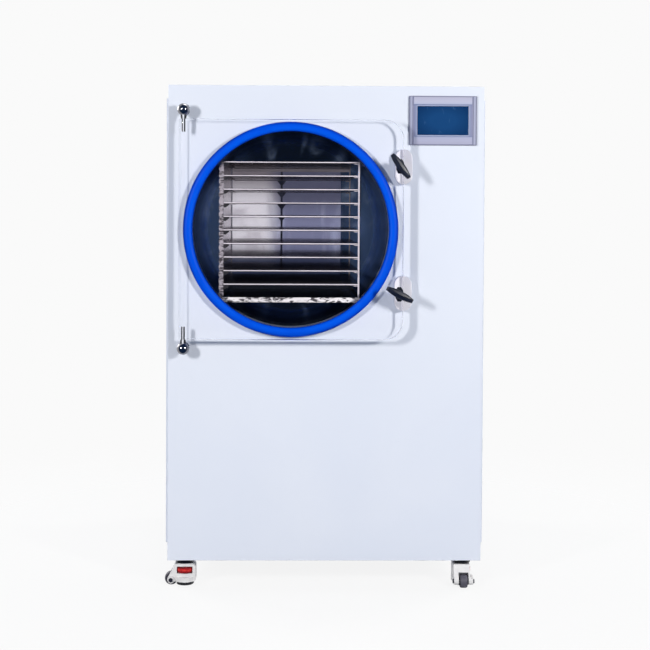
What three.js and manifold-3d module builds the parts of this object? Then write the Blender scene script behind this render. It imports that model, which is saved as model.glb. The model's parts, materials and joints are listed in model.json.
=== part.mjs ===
// Front-loading freeze dryer: a painted sheet-steel cabinet on levelling casters, with a horizontal
// stainless vacuum chamber, a clear acrylic door held by two clamp knobs, and a rack of heated shelves.
//
// Millimetres, X to the right, Y to the back, Z up from the floor. While the pieces are made, Y = 0 is
// the front panel's outer face, so what stands in front of the cabinet has a negative Y.

import * as THREE from 'three';
import { mergeVertices } from 'three/addons/utils/BufferGeometryUtils.js';
import Module from 'manifold-3d';

const wasm = await Module();
wasm.setup();

// ---- Driving dimensions -------------------------------------------------------------------------

const FIT = 0.3; // gap between a piece and its seat, and round a pin that turns in a bore
const PIN = 10; // facets round a pin, a stud or a bore
const ROUND = 14; // facets round a ball, a foot or a boss
const TREAD = 16; // facets round a wheel
const RIM = 40; // facets round the chamber and its rings

const cabinet = {
  width: 950,
  depth: 980,
  height: 1436,
  sheet: 2,
  lip: 25, // folded edge of the front and back panels
};

const sidePanel = { proud: 7, marginTop: 39, marginBottom: 49, marginEnds: 30, overlap: 30, sheet: 1.5 };
const louvre = { width: 240, rise: 5, drop: 14, pitch: 30, rows: 6, wall: 1.2, bottom: 170, columns: [-150, 150] };
const frame = {
  tube: 30,
  underChamber: 10, // from the chamber's lowest line to the middle rails
  saddleWidth: 300,
  saddleThick: 12,
  frontSaddle: 170, // behind the front panel
  rearSaddle: 80, // in front of the dished head
};
const base = { sheet: 3, lip: 20 };

const chamber = {
  sideGap: 55, // from the cabinet's left edge to the wall
  topGap: 119, // from the cabinet's top to the wall
  radius: 308,
  wall: 6,
  rimProud: 14, // how far the rim stands in front of the panel
  straight: 700, // from the front panel to where the dished head begins
  dish: 90,
  holeGap: 2, // round the wall where it passes through the front panel
};
const nozzle = { radius: 20, wall: 3, flangeRadius: 27.5, flangeThick: 8, proud: 40 };
const seal = {
  lipIn: 16, // how far the ring reaches inside the chamber's bore
  lipOut: 9, // and how far outside its wall
  back: 4,
  bead: 9, // depth of the round bead that the door presses on
};
const trimRing = { beyondSeal: 4, thick: 3 };

const door = {
  beyondSeal: 12, // at the two sides
  aboveSeal: 5, // at the top and bottom
  thick: 30,
  backGap: 28, // from the front panel to the door's back
  cornerLeft: 4,
  cornerRight: 55,
};

const hinge = {
  pinRadius: 5.5,
  pinDepth: 38,
  ballRadius: 18.5,
  ballLift: 28, // ball centre beyond the door's edge
  collarRadius: 8,
  collarFoot: 7, // collar's radius where it meets the door
  stemRadius: 8,
  baseRadius: 16,
  baseThick: 4,
  studRadius: 6,
  nutAcross: 22,
  nutThick: 8,
  studBeyondNut: 3,
};

const latch = {
  spacing: 190, // above and below the chamber's axis
  inset: 11.5, // stud axis from the door's right edge
  studRadius: 5,
  studEnd: 21, // from the front panel to the stud's end
  boreRadius: 6.5,
  boreDepth: 14,
  blockWidth: 52,
  blockHeight: 105,
  blockShift: 14,
  padWidth: 23,
  padHeight: 43,
  padThick: 8,
  washerRadius: 11,
  washerThick: 2.5,
  bossRadius: 10,
  bossLength: 8,
  barLength: 87,
  barWaist: 19,
  barEnd: 13,
  barThick: 14,
  barBevel: 3,
  tilt: { upper: -54, lower: -27 }, // degrees of each bar from level
};

const screen = {
  fromRight: 125, // from the cabinet's right edge to the middle of the screen
  fromTop: 103,
  width: 204,
  height: 148,
  proud: 6,
  railWidth: 10.5,
  bandHeight: 26.5,
  groove: 1.2,
  displayWidth: 154,
  displayHeight: 87,
  bodyWidth: 172,
  bodyHeight: 128,
  bodyDepth: 38,
  bodyGap: 1,
};

const rack = {
  restAngle: 46, // degrees below level at which the tray's long edges lie on the chamber's wall
  topGap: 15, // from the top shelf's corners to the wall
  ledge: 5, // how much wider the tray is than the posts, each side
  frontY: 15,
  headGap: 45, // from the rack's back to where the dished head begins
  shelves: 10,
  post: 5,
  postWall: 1.5,
  stub: 12,
  stubThick: 2,
  trayHeight: 15,
  traySheet: 2,
  sideSheet: 2,
  toothPitch: 20,
  flange: 7,
  crossBar: 14,
  backChannel: 8, // from the back posts to the baffle, where the heater wiring runs
};
const shelf = { thick: 2.5, edge: 4.6 };
const baffle = { sideInset: 33, thick: 2, corner: 28, gap: 3 };
const harness = { left: 32, reach: 139, width: 7, thick: 5, clipWidth: 32, clipDrop: 20, clips: 4 };

const caster = {
  insetX: 50,
  insetY: 53,
  plate: 62,
  plateThick: 4,
  plateCorner: 6,
  raceTop: 27,
  raceBottom: 24,
  raceHeight: 13.2,
  kingpin: 6,
  deck: 9.5, // housing above the thumb wheel
  closedSide: 29, // from the wheel's middle plane to the side that hides the thumb wheel
  windowSide: 20, // and to the side that it stands out of
  windowHalf: 24,
  backReach: 33,
  chamfer: 4, // at the housing's lower edges
  shoulder: [6, 9], // slope at its upper edges, along and down
  trail: 41.5,
  wheelRadius: 20,
  wheelWidth: 22,
  wheelGap: 2.5, // at each side of the wheel
  wheelRoom: 1.3, // round the tread
  wheelRoof: 2.2, // housing between the wheel and the thumb wheel
  hubDepth: 2.5,
  treadEdge: 2.5,
  axleRadius: 4,
  bossRadius: 11,
  bossReach: 29,
  nutAcross: 12,
  nutThick: 4,
  thumbRadius: 25.5,
  thumbHeight: 20,
  thumbGap: 0.8,
  ridges: 18,
  stemRadius: 8,
  footRadius: 28,
  footGap: 2.5, // from the wheel's tread
  footHeight: 10.4,
  footLift: 2, // rubber foot above the floor while the wheels carry the cabinet
  skirtRadius: 33,
  skirtHeight: 14,
};

const gland = {
  fromRight: 145, // from the cabinet's right edge
  fromBottom: 104,
  nutAcross: 24,
  nutThick: 10,
  lockNutThick: 6,
  domeRadius: 11,
  mouthRadius: 7.5,
  proud: 26,
  bore: 5,
  threadRadius: 10,
  threadLength: 12,
};

// ---- Places worked out from the dimensions ------------------------------------------------------

// The caster's pieces are stacked up from the floor, and the cabinet stands on its plates.
const axleZ = caster.wheelRadius;
const yokeFloorZ = caster.footLift + caster.footHeight + FIT;
const wheelSpace = caster.wheelRadius + caster.wheelRoom;
const thumbReach = caster.trail - caster.thumbRadius - caster.thumbGap;
const thumbFloorZ = axleZ + Math.sqrt(wheelSpace ** 2 - thumbReach ** 2) + caster.wheelRoof;
const thumbRoofZ = thumbFloorZ + caster.thumbHeight + 2 * caster.thumbGap;
const yokeTopZ = thumbRoofZ + caster.deck;
const raceBottomZ = yokeTopZ + FIT;
const plateBottomZ = raceBottomZ + caster.raceHeight;
const plateTopZ = plateBottomZ + caster.plateThick;

const bottomZ = plateTopZ + FIT;
const topZ = bottomZ + cabinet.height;
const halfCabinet = cabinet.width / 2;
const middleY = cabinet.depth / 2;

const chamberOuter = chamber.radius + chamber.wall;
const chamberX = chamber.sideGap + chamberOuter - halfCabinet;
const chamberZ = topZ - chamber.topGap - chamberOuter;
const mouthHole = chamberOuter + chamber.holeGap;
const seatRadius = chamber.radius * Math.cos(Math.PI / RIM) - FIT;
const sealInner = chamber.radius - seal.lipIn;
const sealOuter = chamberOuter + seal.lipOut;

const doorHalfWidth = sealOuter + door.beyondSeal;
const doorHalfHeight = sealOuter + door.aboveSeal;
const doorLeft = chamberX - doorHalfWidth;
const doorRight = chamberX + doorHalfWidth;
const doorBack = -door.backGap;
const doorFront = doorBack - door.thick;
const hingeX = doorLeft + door.thick / 2;
const hingeY = doorBack - door.thick / 2;
const latchX = doorRight - latch.inset;

const screenX = halfCabinet - screen.fromRight;
const screenZ = topZ - screen.fromTop;

const trayHalf = seatRadius * Math.cos(THREE.MathUtils.degToRad(rack.restAngle));
const trayBottom = chamberZ - seatRadius * Math.sin(THREE.MathUtils.degToRad(rack.restAngle));
const trayTop = trayBottom + rack.trayHeight;
const rackHalf = trayHalf - rack.ledge;
const rackLeft = chamberX - rackHalf;
const rackRight = chamberX + rackHalf;
const rackBack = chamber.straight - rack.headGap;
const rackTop = chamberZ + Math.sqrt((seatRadius - rack.topGap) ** 2 - rackHalf ** 2);
const shelfPitch = (rackTop - trayTop) / rack.shelves;

const glandX = halfCabinet - gland.fromRight;
const glandZ = bottomZ + gland.fromBottom;

// ---- Colours ------------------------------------------------------------------------------------

function finish(color, roughness, metalness = 0) {
  return () => new THREE.MeshStandardMaterial({ color, roughness, metalness });
}

const whitePaint = finish(0xe4e9f2, 0.45);
const steelFrame = finish(0x9aa0a6, 0.5, 0.6);
const stainless = finish(0xb9bdc2, 0.28, 1);
const chrome = finish(0xd5d8dc, 0.08, 1);
const blueSilicone = finish(0x0a52d8, 0.4);
const blackPlastic = finish(0x16161a, 0.45);
const blackRubber = finish(0x202124, 0.8);
const whitePlastic = finish(0xe6e8ec, 0.5);
const greyPlastic = finish(0xbfc2d4, 0.45);
const redPlastic = finish(0xb3201c, 0.4);
const glassScreen = finish(0x143e6e, 0.15);

function clearAcrylic() {
  return new THREE.MeshStandardMaterial({ color: 0xeef4f8, roughness: 0.05, transparent: true, opacity: 0.25 });
}

// ---- Solids -------------------------------------------------------------------------------------

// Triangles that a lathe squeezes flat on its axis are left out.
function solid(geometry) {
  const bare = geometry.clone();
  bare.deleteAttribute('normal');
  bare.deleteAttribute('uv');
  const merged = mergeVertices(bare, 1e-4);
  const corners = merged.index.array;
  const kept = [];
  for (let i = 0; i < corners.length; i += 3) {
    const [a, b, c] = corners.slice(i, i + 3);
    if (a !== b && b !== c && c !== a) kept.push(a, b, c);
  }
  const vertProperties = merged.attributes.position.array;
  return new wasm.Manifold(new wasm.Mesh({ numProp: 3, vertProperties, triVerts: new Uint32Array(kept) }));
}

function geometryOf(body) {
  const { vertProperties, triVerts } = body.getMesh();
  const geometry = new THREE.BufferGeometry();
  geometry.setAttribute('position', new THREE.BufferAttribute(vertProperties, 3));
  geometry.setIndex(new THREE.BufferAttribute(triVerts, 1));
  geometry.computeVertexNormals();
  return geometry;
}

function join(...geometries) {
  return geometryOf(geometries.map(solid).reduce((all, next) => all.add(next)));
}

function cut(geometry, ...tools) {
  return geometryOf(tools.map(solid).reduce((left, tool) => left.subtract(tool), solid(geometry)));
}

function block([x0, x1], [y0, y1], [z0, z1]) {
  const geometry = new THREE.BoxGeometry(x1 - x0, y1 - y0, z1 - z0);
  return geometry.translate((x0 + x1) / 2, (y0 + y1) / 2, (z0 + z1) / 2);
}

function rod(axis, radius, [from, to], facets = PIN) {
  const geometry = new THREE.CylinderGeometry(radius, radius, to - from, facets);
  geometry.translate(0, (from + to) / 2, 0);
  if (axis === 'x') geometry.rotateZ(-Math.PI / 2);
  if (axis === 'z') geometry.rotateX(Math.PI / 2);
  return geometry;
}

// A bore whose flats clear a shaft of the given radius by the running gap.
function bore(axis, shaftRadius, span, facets = PIN) {
  return rod(axis, (shaftRadius + FIT) / Math.cos(Math.PI / facets), span, facets);
}

function hexagon(axis, acrossFlats, span) {
  return rod(axis, acrossFlats / Math.sqrt(3), span, 6);
}

// Turns [radius, height] points about +Z. The outline runs anticlockwise so that its faces point out,
// and one that stays off the axis is closed on itself.
function revolve(outline, facets) {
  const points = outline.map(([radius, height]) => new THREE.Vector2(radius, height));
  if (THREE.ShapeUtils.isClockWise(points)) points.reverse();
  if (points[0].x > 0) points.push(points[0].clone());
  return new THREE.LatheGeometry(points, facets).rotateX(Math.PI / 2);
}

// Turns [radius, depth] points about the chamber's axis, which runs to the back.
function revolveOnChamber(outline) {
  return revolve(outline, RIM).rotateX(-Math.PI / 2).translate(chamberX, 0, chamberZ);
}

function arcPoints(centre, radii, from, to, steps) {
  return Array.from({ length: steps + 1 }, (_, i) => {
    const angle = from + ((to - from) * i) / steps;
    return [centre[0] + radii[0] * Math.cos(angle), centre[1] + radii[1] * Math.sin(angle)];
  });
}

function outlineShape(points) {
  return new THREE.Shape(points.map(([x, y]) => new THREE.Vector2(x, y)));
}

function roundedRectangle([x0, x1], [z0, z1], { left = 0, right = 0 }) {
  const shape = new THREE.Shape();
  shape.moveTo(x0 + left, z0);
  shape.lineTo(x1 - right, z0);
  if (right > 0) shape.absarc(x1 - right, z0 + right, right, -Math.PI / 2, 0);
  shape.lineTo(x1, z1 - right);
  if (right > 0) shape.absarc(x1 - right, z1 - right, right, 0, Math.PI / 2);
  shape.lineTo(x0 + left, z1);
  if (left > 0) shape.absarc(x0 + left, z1 - left, left, Math.PI / 2, Math.PI);
  shape.lineTo(x0, z0 + left);
  if (left > 0) shape.absarc(x0 + left, z0 + left, left, Math.PI, Math.PI * 1.5);
  return shape;
}

// Gives a shape drawn in X and Z a thickness along Y.
function upright(shape, [y0, y1], curveSegments = 6) {
  const geometry = new THREE.ExtrudeGeometry(shape, { depth: y1 - y0, bevelEnabled: false, curveSegments });
  return geometry.rotateX(Math.PI / 2).translate(0, y1, 0);
}

// A shallow tray folded from sheet, with its floor towards +X, drawn across Y and up Z.
function foldedTray([x0, x1], [y0, y1], [z0, z1], sheet) {
  const hollow = block([x0 - 1, x1 - sheet], [y0 + sheet, y1 - sheet], [z0 + sheet, z1 - sheet]);
  return cut(block([x0, x1], [y0, y1], [z0, z1]), hollow);
}

// One hood pressed out of a sheet that faces +X, open underneath. The hood's outside is joined to the
// sheet and its inside is cut from it.
function louvreHood(x, y, z, sheet) {
  const outer = [[-sheet / 2, 0], ...arcPoints([0, 0], [louvre.rise, louvre.drop], 0, Math.PI / 2, 2)];
  outer.push([-sheet / 2, louvre.drop]);
  const { rise, drop, wall } = louvre;
  const inner = [[-2 * sheet, -wall], [rise - wall, -wall]];
  inner.push(...arcPoints([0, 0], [rise - wall, drop - wall], 0, Math.PI / 2, 2));
  inner.push([-2 * sheet, drop - wall]);
  const place = (points, width) => upright(outlineShape(points), [-width / 2, width / 2]).translate(x, y, z);
  return { outside: place(outer, louvre.width), inside: place(inner, louvre.width - 2 * wall) };
}

function withLouvres(panel, x, sheet) {
  const hoods = [];
  for (let row = 0; row < louvre.rows; row += 1) {
    for (const y of louvre.columns) hoods.push(louvreHood(x, y, bottomZ + louvre.bottom + row * louvre.pitch, sheet));
  }
  return cut(join(panel, ...hoods.map((hood) => hood.outside)), ...hoods.map((hood) => hood.inside));
}

// ---- Assembly -----------------------------------------------------------------------------------

const freezeDryer = new THREE.Group();

function add(name, geometry, material, parent = freezeDryer) {
  const mesh = new THREE.Mesh(geometry, material());
  mesh.name = name;
  parent.add(mesh);
  return mesh;
}

// ---- Cabinet ------------------------------------------------------------------------------------

function frontPanel() {
  const { lip, sheet } = cabinet;
  const skin = block([-halfCabinet, halfCabinet], [0, lip], [bottomZ, topZ]);
  const inside = [sheet - halfCabinet, halfCabinet - sheet];
  const hollow = block(inside, [sheet, lip + 1], [bottomZ + sheet, topZ - sheet]);
  const through = [-1, lip];
  const mouth = rod('y', mouthHole, through, RIM).translate(chamberX, 0, chamberZ);
  const halfBody = [screen.bodyWidth / 2 + screen.bodyGap, screen.bodyHeight / 2 + screen.bodyGap];
  const window = block(
    [screenX - halfBody[0], screenX + halfBody[0]],
    through,
    [screenZ - halfBody[1], screenZ + halfBody[1]],
  );
  const studHoles = [-1, 1].map((side) => bore('y', hinge.studRadius, through).translate(hingeX, 0, ballZ(side)));
  return cut(skin, hollow, mouth, window, ...studHoles);
}

function cabinetShell() {
  const { lip, sheet, depth } = cabinet;
  const span = [lip + FIT, depth - lip - FIT];
  const outer = block([-halfCabinet, halfCabinet], span, [bottomZ, topZ]);
  const inner = block([sheet - halfCabinet, halfCabinet - sheet], [0, depth], [bottomZ - 1, topZ - sheet]);
  const { marginEnds, marginTop, marginBottom, overlap } = sidePanel;
  const ends = marginEnds + overlap;
  const window = block(
    [-cabinet.width, cabinet.width],
    [ends, depth - ends],
    [bottomZ + marginBottom + overlap, topZ - marginTop - overlap],
  );
  return cut(outer, inner, window);
}

function sideCover() {
  const face = halfCabinet + sidePanel.proud;
  const { sheet, marginEnds, marginTop, marginBottom } = sidePanel;
  const halfLength = middleY - marginEnds;
  const height = [bottomZ + marginBottom, topZ - marginTop];
  const tray = foldedTray([halfCabinet + FIT, face], [-halfLength, halfLength], height, sheet);
  return withLouvres(tray, face, sheet);
}

function backPanel() {
  const { depth, lip, sheet } = cabinet;
  const tray = foldedTray([depth - lip, depth], [-halfCabinet, halfCabinet], [bottomZ, topZ], sheet);
  const vented = withLouvres(tray, depth, sheet).rotateZ(Math.PI / 2);
  const span = [depth - lip, depth + 1];
  const nozzleHole = rod('y', nozzle.radius + nozzle.wall + 2, span).translate(chamberX, 0, chamberZ);
  const glandHole = bore('y', gland.threadRadius, span).translate(glandX, 0, glandZ);
  return cut(vented, nozzleHole, glandHole);
}

function basePlate() {
  const halfWidth = halfCabinet - cabinet.sheet - FIT;
  const span = [cabinet.lip + 2 * FIT, cabinet.depth - cabinet.lip - 2 * FIT];
  const tray = block([-halfWidth, halfWidth], span, [bottomZ, bottomZ + base.lip]);
  const hollow = block(
    [base.sheet - halfWidth, halfWidth - base.sheet],
    [span[0] + base.sheet, span[1] - base.sheet],
    [bottomZ + base.sheet, bottomZ + base.lip + 1],
  );
  return cut(tray, hollow);
}

// Welded square tube: four corner posts, rails at three heights, and two cross rails with saddles that
// carry the chamber.
function cabinetFrame() {
  const { tube } = frame;
  const inset = cabinet.sheet + base.sheet + 2 * FIT;
  const outerX = halfCabinet - inset;
  const outerY = [cabinet.lip + base.sheet + 3 * FIT, cabinet.depth - cabinet.lip - base.sheet - 3 * FIT];
  const low = bottomZ + base.sheet + FIT;
  const high = topZ - cabinet.sheet - FIT;
  const postsX = [[-outerX, tube - outerX], [outerX - tube, outerX]];
  const postsY = [[outerY[0], outerY[0] + tube], [outerY[1] - tube, outerY[1]]];
  const middle = chamberZ - chamberOuter - frame.underChamber;
  const railHeights = [[low, low + tube], [middle - tube, middle], [high - tube, high]];
  const members = [];
  for (const x of postsX) {
    for (const y of postsY) members.push(block(x, y, [low, high]));
    for (const z of railHeights) members.push(block(x, outerY, z));
  }
  for (const y of postsY) {
    for (const z of [railHeights[0], railHeights[2]]) members.push(block([-outerX, outerX], y, z));
  }
  const halfSaddle = frame.saddleWidth / 2;
  for (const y of [frame.frontSaddle, chamber.straight - frame.rearSaddle]) {
    const span = [y, y + tube];
    const saddle = [y, y + frame.saddleThick];
    members.push(block([-outerX, outerX], span, railHeights[1]));
    members.push(block([chamberX - halfSaddle, chamberX + halfSaddle], saddle, [middle - 1, chamberZ]));
  }
  const vessel = rod('y', chamberOuter + FIT, [0, cabinet.depth], RIM).translate(chamberX, 0, chamberZ);
  return cut(join(...members), vessel);
}

add('front_panel', frontPanel(), whitePaint);
add('cabinet_shell', cabinetShell(), whitePaint);
add('right_side_panel', sideCover().translate(0, middleY, 0), whitePaint);
add('left_side_panel', sideCover().rotateZ(Math.PI).translate(0, middleY, 0), whitePaint);
add('back_panel', backPanel(), whitePaint);
add('base_plate', basePlate(), whitePaint);
add('cabinet_frame', cabinetFrame(), steelFrame);

// ---- Vacuum chamber -----------------------------------------------------------------------------

// Cylinder with a dished head, and on the head's middle a nozzle with a clamp flange that passes
// through the back panel.
function vacuumChamber() {
  const { radius, wall, rimProud, straight, dish } = chamber;
  const end = cabinet.depth + nozzle.proud;
  const tubeOuter = nozzle.radius + nozzle.wall;
  const headStart = Math.acos(nozzle.radius / radius);
  const outerStart = Math.acos(tubeOuter / chamberOuter);
  const inside = arcPoints([0, straight], [radius, dish], 0, headStart, 3);
  const outside = arcPoints([0, straight], [chamberOuter, dish + wall], outerStart, 0, 2);
  return revolveOnChamber([
    [radius, -rimProud],
    ...inside,
    [nozzle.radius, end],
    [nozzle.flangeRadius, end],
    [nozzle.flangeRadius, end - nozzle.flangeThick],
    [tubeOuter, end - nozzle.flangeThick],
    ...outside,
    [chamberOuter, -rimProud],
  ]);
}

// Silicone ring gripping the chamber's rim, with a round bead towards the door.
function doorSeal() {
  const middle = (sealInner + sealOuter) / 2;
  const half = (sealOuter - sealInner) / 2;
  const shoulder = doorBack + FIT + seal.bead;
  const grooveFront = -chamber.rimProud - FIT;
  const grooveOut = chamberOuter + FIT / Math.cos(Math.PI / RIM);
  return revolveOnChamber([
    [sealInner, -seal.back],
    ...arcPoints([middle, shoulder], [half, seal.bead], Math.PI, Math.PI * 2, 4),
    [sealOuter, -seal.back],
    [grooveOut, -seal.back],
    [grooveOut, grooveFront],
    [seatRadius, grooveFront],
    [seatRadius, -seal.back],
  ]);
}

function mouthTrim() {
  const back = -FIT;
  const front = back - trimRing.thick;
  const inner = mouthHole + FIT;
  const outer = sealOuter + trimRing.beyondSeal;
  return revolveOnChamber([[inner, back], [inner, front], [outer, front], [outer, back]]);
}

add('vacuum_chamber', vacuumChamber(), stainless);
add('door_seal', doorSeal(), blueSilicone);
add('mouth_trim_ring', mouthTrim(), whitePaint);

// ---- Rack and shelves ---------------------------------------------------------------------------

// Shallow tray whose two long edges rest on the chamber's wall.
function rackTray() {
  const span = [chamberX - trayHalf, chamberX + trayHalf];
  const { traySheet } = rack;
  const hollow = block(
    [span[0] + traySheet, span[1] - traySheet],
    [rack.frontY + traySheet, rackBack - traySheet],
    [trayBottom + traySheet, trayTop + 1],
  );
  return cut(block(span, [rack.frontY, rackBack], [trayBottom, trayTop]), hollow);
}

// Angle post that stands on the tray's edge, at the left or right side (-1 or 1) and at the front
// or back end (-1 or 1).
function rackPost(side, end) {
  const { post, postWall } = rack;
  const outerX = chamberX + side * rackHalf;
  const outerY = end < 0 ? rack.frontY : rackBack;
  const x = side < 0 ? [outerX, outerX + post] : [outerX - post, outerX];
  const y = end < 0 ? [outerY, outerY + post] : [outerY - post, outerY];
  const hollowX = side < 0 ? [x[0] + postWall, x[1] + 1] : [x[0] - 1, x[1] - postWall];
  const hollowY = end < 0 ? [y[0] + postWall, y[1] + 1] : [y[0] - 1, y[1] - postWall];
  const height = [trayTop + FIT, rackTop];
  return cut(block(x, y, height), block(hollowX, hollowY, [height[0] - 1, height[1] + 1]));
}

function shelfZ(level) {
  return rackTop - level * shelfPitch;
}

// The shelves' supports under their right or left ends, between two distances from the front.
function shelfSupports(x, y) {
  return Array.from({ length: rack.shelves }, (_, level) => {
    const top = shelfZ(level) - shelf.edge - FIT;
    return block(x, y, [top - rack.stubThick, top]);
  });
}

// Left side sheet, with a toothed flange standing out at its front edge.
function rackSide() {
  const { sideSheet, flange, toothPitch } = rack;
  const low = trayTop + FIT;
  const height = rackTop - low;
  const sheet = block([rackLeft - sideSheet, rackLeft + 1], [rack.frontY, rackBack], [low, rackTop]);
  const teeth = Math.floor(height / toothPitch);
  const edge = [[rackLeft - 1, low], [rackLeft - 1, low + teeth * toothPitch]];
  for (let tooth = teeth - 1; tooth >= 0; tooth -= 1) {
    const foot = low + tooth * toothPitch;
    edge.push([rackLeft - sideSheet - flange, foot + toothPitch * 0.75]);
    edge.push([rackLeft - sideSheet - flange, foot + toothPitch * 0.25]);
    if (tooth > 0) edge.push([rackLeft - sideSheet - flange * 0.6, foot]);
  }
  return [sheet, upright(outlineShape(edge.reverse()), [rack.frontY, rack.frontY + sideSheet])];
}

// Left side: its sheet, its two posts and the rails under the shelves' left ends.
function leftRackSide() {
  const rails = shelfSupports([rackLeft - 1, rackLeft + rack.post + rack.stub], [rack.frontY + 1, rackBack - 1]);
  return join(...rackSide(), rackPost(-1, -1), rackPost(-1, 1), ...rails);
}

// Right front post with a tab under each shelf.
function frontRackPost() {
  const tabs = shelfSupports([rackRight - rack.post - rack.stub, rackRight - 1], [
    rack.frontY + 1,
    rack.frontY + rack.stub,
  ]);
  return join(rackPost(1, -1), ...tabs);
}

// Right rear post with its tabs, and two cross bars that reach to the left rear post's back. A lug
// at each bar's right end joins it to the post.
function rearRackFrame() {
  const back = rackBack + rack.backChannel;
  const bars = [rackTop - rack.crossBar, trayTop + rack.crossBar].flatMap((foot) => {
    const height = [foot, foot + rack.crossBar];
    return [
      block([rackLeft + 1, rackRight - 1], [rackBack + FIT, back], height),
      block([rackRight - rack.post, rackRight - 1], [rackBack - 1, back], height),
    ];
  });
  const tabs = shelfSupports([rackRight - rack.post - rack.stub, rackRight - 1], [
    rackBack - rack.stub,
    rackBack - 1,
  ]);
  return join(rackPost(1, 1), ...bars, ...tabs);
}

// A plate with its front and back edges turned down.
function shelfPlate(level) {
  const top = shelfZ(level);
  const { thick, edge } = shelf;
  const x = [rackLeft + rack.postWall + FIT, rackRight - rack.postWall - FIT];
  const y = [rack.frontY + rack.postWall + FIT, rackBack - rack.postWall - FIT];
  const plate = block(x, y, [top - edge, top]);
  const hollow = block([x[0] - 1, x[1] + 1], [y[0] + thick, y[1] - thick], [top - edge - 1, top - thick]);
  return cut(plate, hollow);
}

function rearBaffle() {
  const half = rackHalf - baffle.sideInset;
  const height = [trayBottom + baffle.gap, rackTop];
  const corners = { left: baffle.corner, right: baffle.corner };
  const shape = roundedRectangle([chamberX - half, chamberX + half], height, corners);
  const front = rackBack + rack.backChannel + FIT;
  return upright(shape, [front, front + baffle.thick]);
}

// Wiring of the shelf heaters: a flat bundle down the baffle, with a tapered clip at the back edge of
// each upper shelf.
function heaterHarness() {
  const y = [rackBack + rack.backChannel - harness.thick, rackBack + rack.backChannel];
  const { width, clipWidth, clipDrop } = harness;
  const x = chamberX - harness.left;
  const height = [chamberZ - harness.reach, rackTop - rack.crossBar - FIT];
  const bundle = block([x - width / 2, x + width / 2], y, height);
  const clips = Array.from({ length: harness.clips }, (_, i) => {
    const top = shelfZ(i + 1) - shelf.edge;
    return upright(outlineShape([[x - clipWidth / 2, top], [x, top - clipDrop], [x + clipWidth / 2, top]]), y);
  });
  return join(bundle, ...clips);
}

add('rack_tray', rackTray(), stainless);
add('rack_left_side', leftRackSide(), stainless);
add('rack_front_post', frontRackPost(), stainless);
add('rack_rear_frame', rearRackFrame(), stainless);
for (let level = 0; level < rack.shelves; level += 1) {
  add(`shelf_${String(level + 1).padStart(2, '0')}`, shelfPlate(level), stainless);
}
add('rear_baffle', rearBaffle(), stainless);
add('heater_harness', heaterHarness(), blackPlastic);

// ---- Door ---------------------------------------------------------------------------------------

function ballZ(side) {
  return chamberZ + side * (doorHalfHeight + hinge.ballLift);
}

// The hinge edge is rounded about the pins, so that the door clears the seal as it turns.
function doorPlate() {
  const shape = roundedRectangle(
    [doorLeft - hingeX, doorRight - hingeX],
    [-doorHalfHeight, doorHalfHeight],
    { left: door.cornerLeft, right: door.cornerRight },
  );
  const half = door.thick / 2;
  const slab = upright(shape, [-half, half]);
  const height = [-doorHalfHeight - 1, doorHalfHeight + 1];
  const edge = cut(block([-half - 1, 0], [-half - 1, half + 1], height), rod('z', half, height, RIM));
  const depth = hinge.pinDepth + FIT;
  const pins = [-1, 1].map((side) => {
    const end = side * doorHalfHeight;
    const span = side > 0 ? [end - depth, end + 1] : [end - 1, end + depth];
    return bore('z', hinge.pinRadius, span);
  });
  const studs = [-1, 1].map((side) =>
    bore('y', latch.studRadius, [-door.thick, door.thick]).translate(latchX - hingeX, 0, side * latch.spacing),
  );
  return cut(slab, edge, ...pins, ...studs);
}

// Ball on a stem, with a pin that reaches into the door's edge. Drawn for the upper hinge, with the
// ball's middle at the origin, and turned over for the lower one.
function hingeBall() {
  const { ballRadius, ballLift, collarRadius, collarFoot, pinRadius, pinDepth } = hinge;
  const ball = new THREE.SphereGeometry(ballRadius, ROUND, ROUND / 2).rotateX(Math.PI / 2);
  const edge = FIT - ballLift;
  const collar = revolve([[0, edge], [collarFoot, edge], [collarRadius, 0], [0, 0]], ROUND);
  const pin = rod('z', pinRadius, [-ballLift - pinDepth, 0]);
  const toPanel = -hingeY;
  const stem = rod('y', hinge.stemRadius, [0, toPanel - FIT]);
  const foot = rod('y', hinge.baseRadius, [toPanel - FIT - hinge.baseThick, toPanel - FIT]);
  const nutStart = toPanel + cabinet.sheet + FIT;
  const stud = rod('y', hinge.studRadius, [0, nutStart + hinge.nutThick + hinge.studBeyondNut]);
  const nut = hexagon('y', hinge.nutAcross, [nutStart, nutStart + hinge.nutThick]);
  return join(ball, collar, pin, stem, foot, stud, nut);
}

add('door_plate', doorPlate(), clearAcrylic).position.set(hingeX, hingeY, chamberZ);
add('upper_hinge_ball', hingeBall(), chrome).position.set(hingeX, hingeY, ballZ(1));
add('lower_hinge_ball', hingeBall().rotateY(Math.PI), chrome).position.set(hingeX, hingeY, ballZ(-1));

// ---- Door clamps --------------------------------------------------------------------------------

// Block with round ends on the front panel. The clamp's stud screws into it through the door.
function latchBlock() {
  const half = latch.blockWidth / 2;
  const shape = roundedRectangle(
    [latch.blockShift - half, latch.blockShift + half],
    [-latch.blockHeight / 2, latch.blockHeight / 2],
    { left: half, right: half },
  );
  const front = doorBack + FIT;
  return cut(upright(shape, [front, -FIT]), rod('y', latch.boreRadius, [front - 1, front + latch.boreDepth]));
}

function latchPad() {
  const corner = latch.padWidth / 4;
  const half = [latch.padWidth / 2, latch.padHeight / 2];
  const shape = outlineShape([
    [corner - half[0], -half[1]],
    [half[0] - corner, -half[1]],
    [half[0], 2 * corner - half[1]],
    [half[0], half[1] - 2 * corner],
    [half[0] - corner, half[1]],
    [corner - half[0], half[1]],
    [-half[0], half[1] - 2 * corner],
    [-half[0], 2 * corner - half[1]],
  ]);
  const back = doorFront - FIT;
  return cut(upright(shape, [back - latch.padThick, back]), bore('y', latch.studRadius, [back - 20, back + 5]));
}

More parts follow.
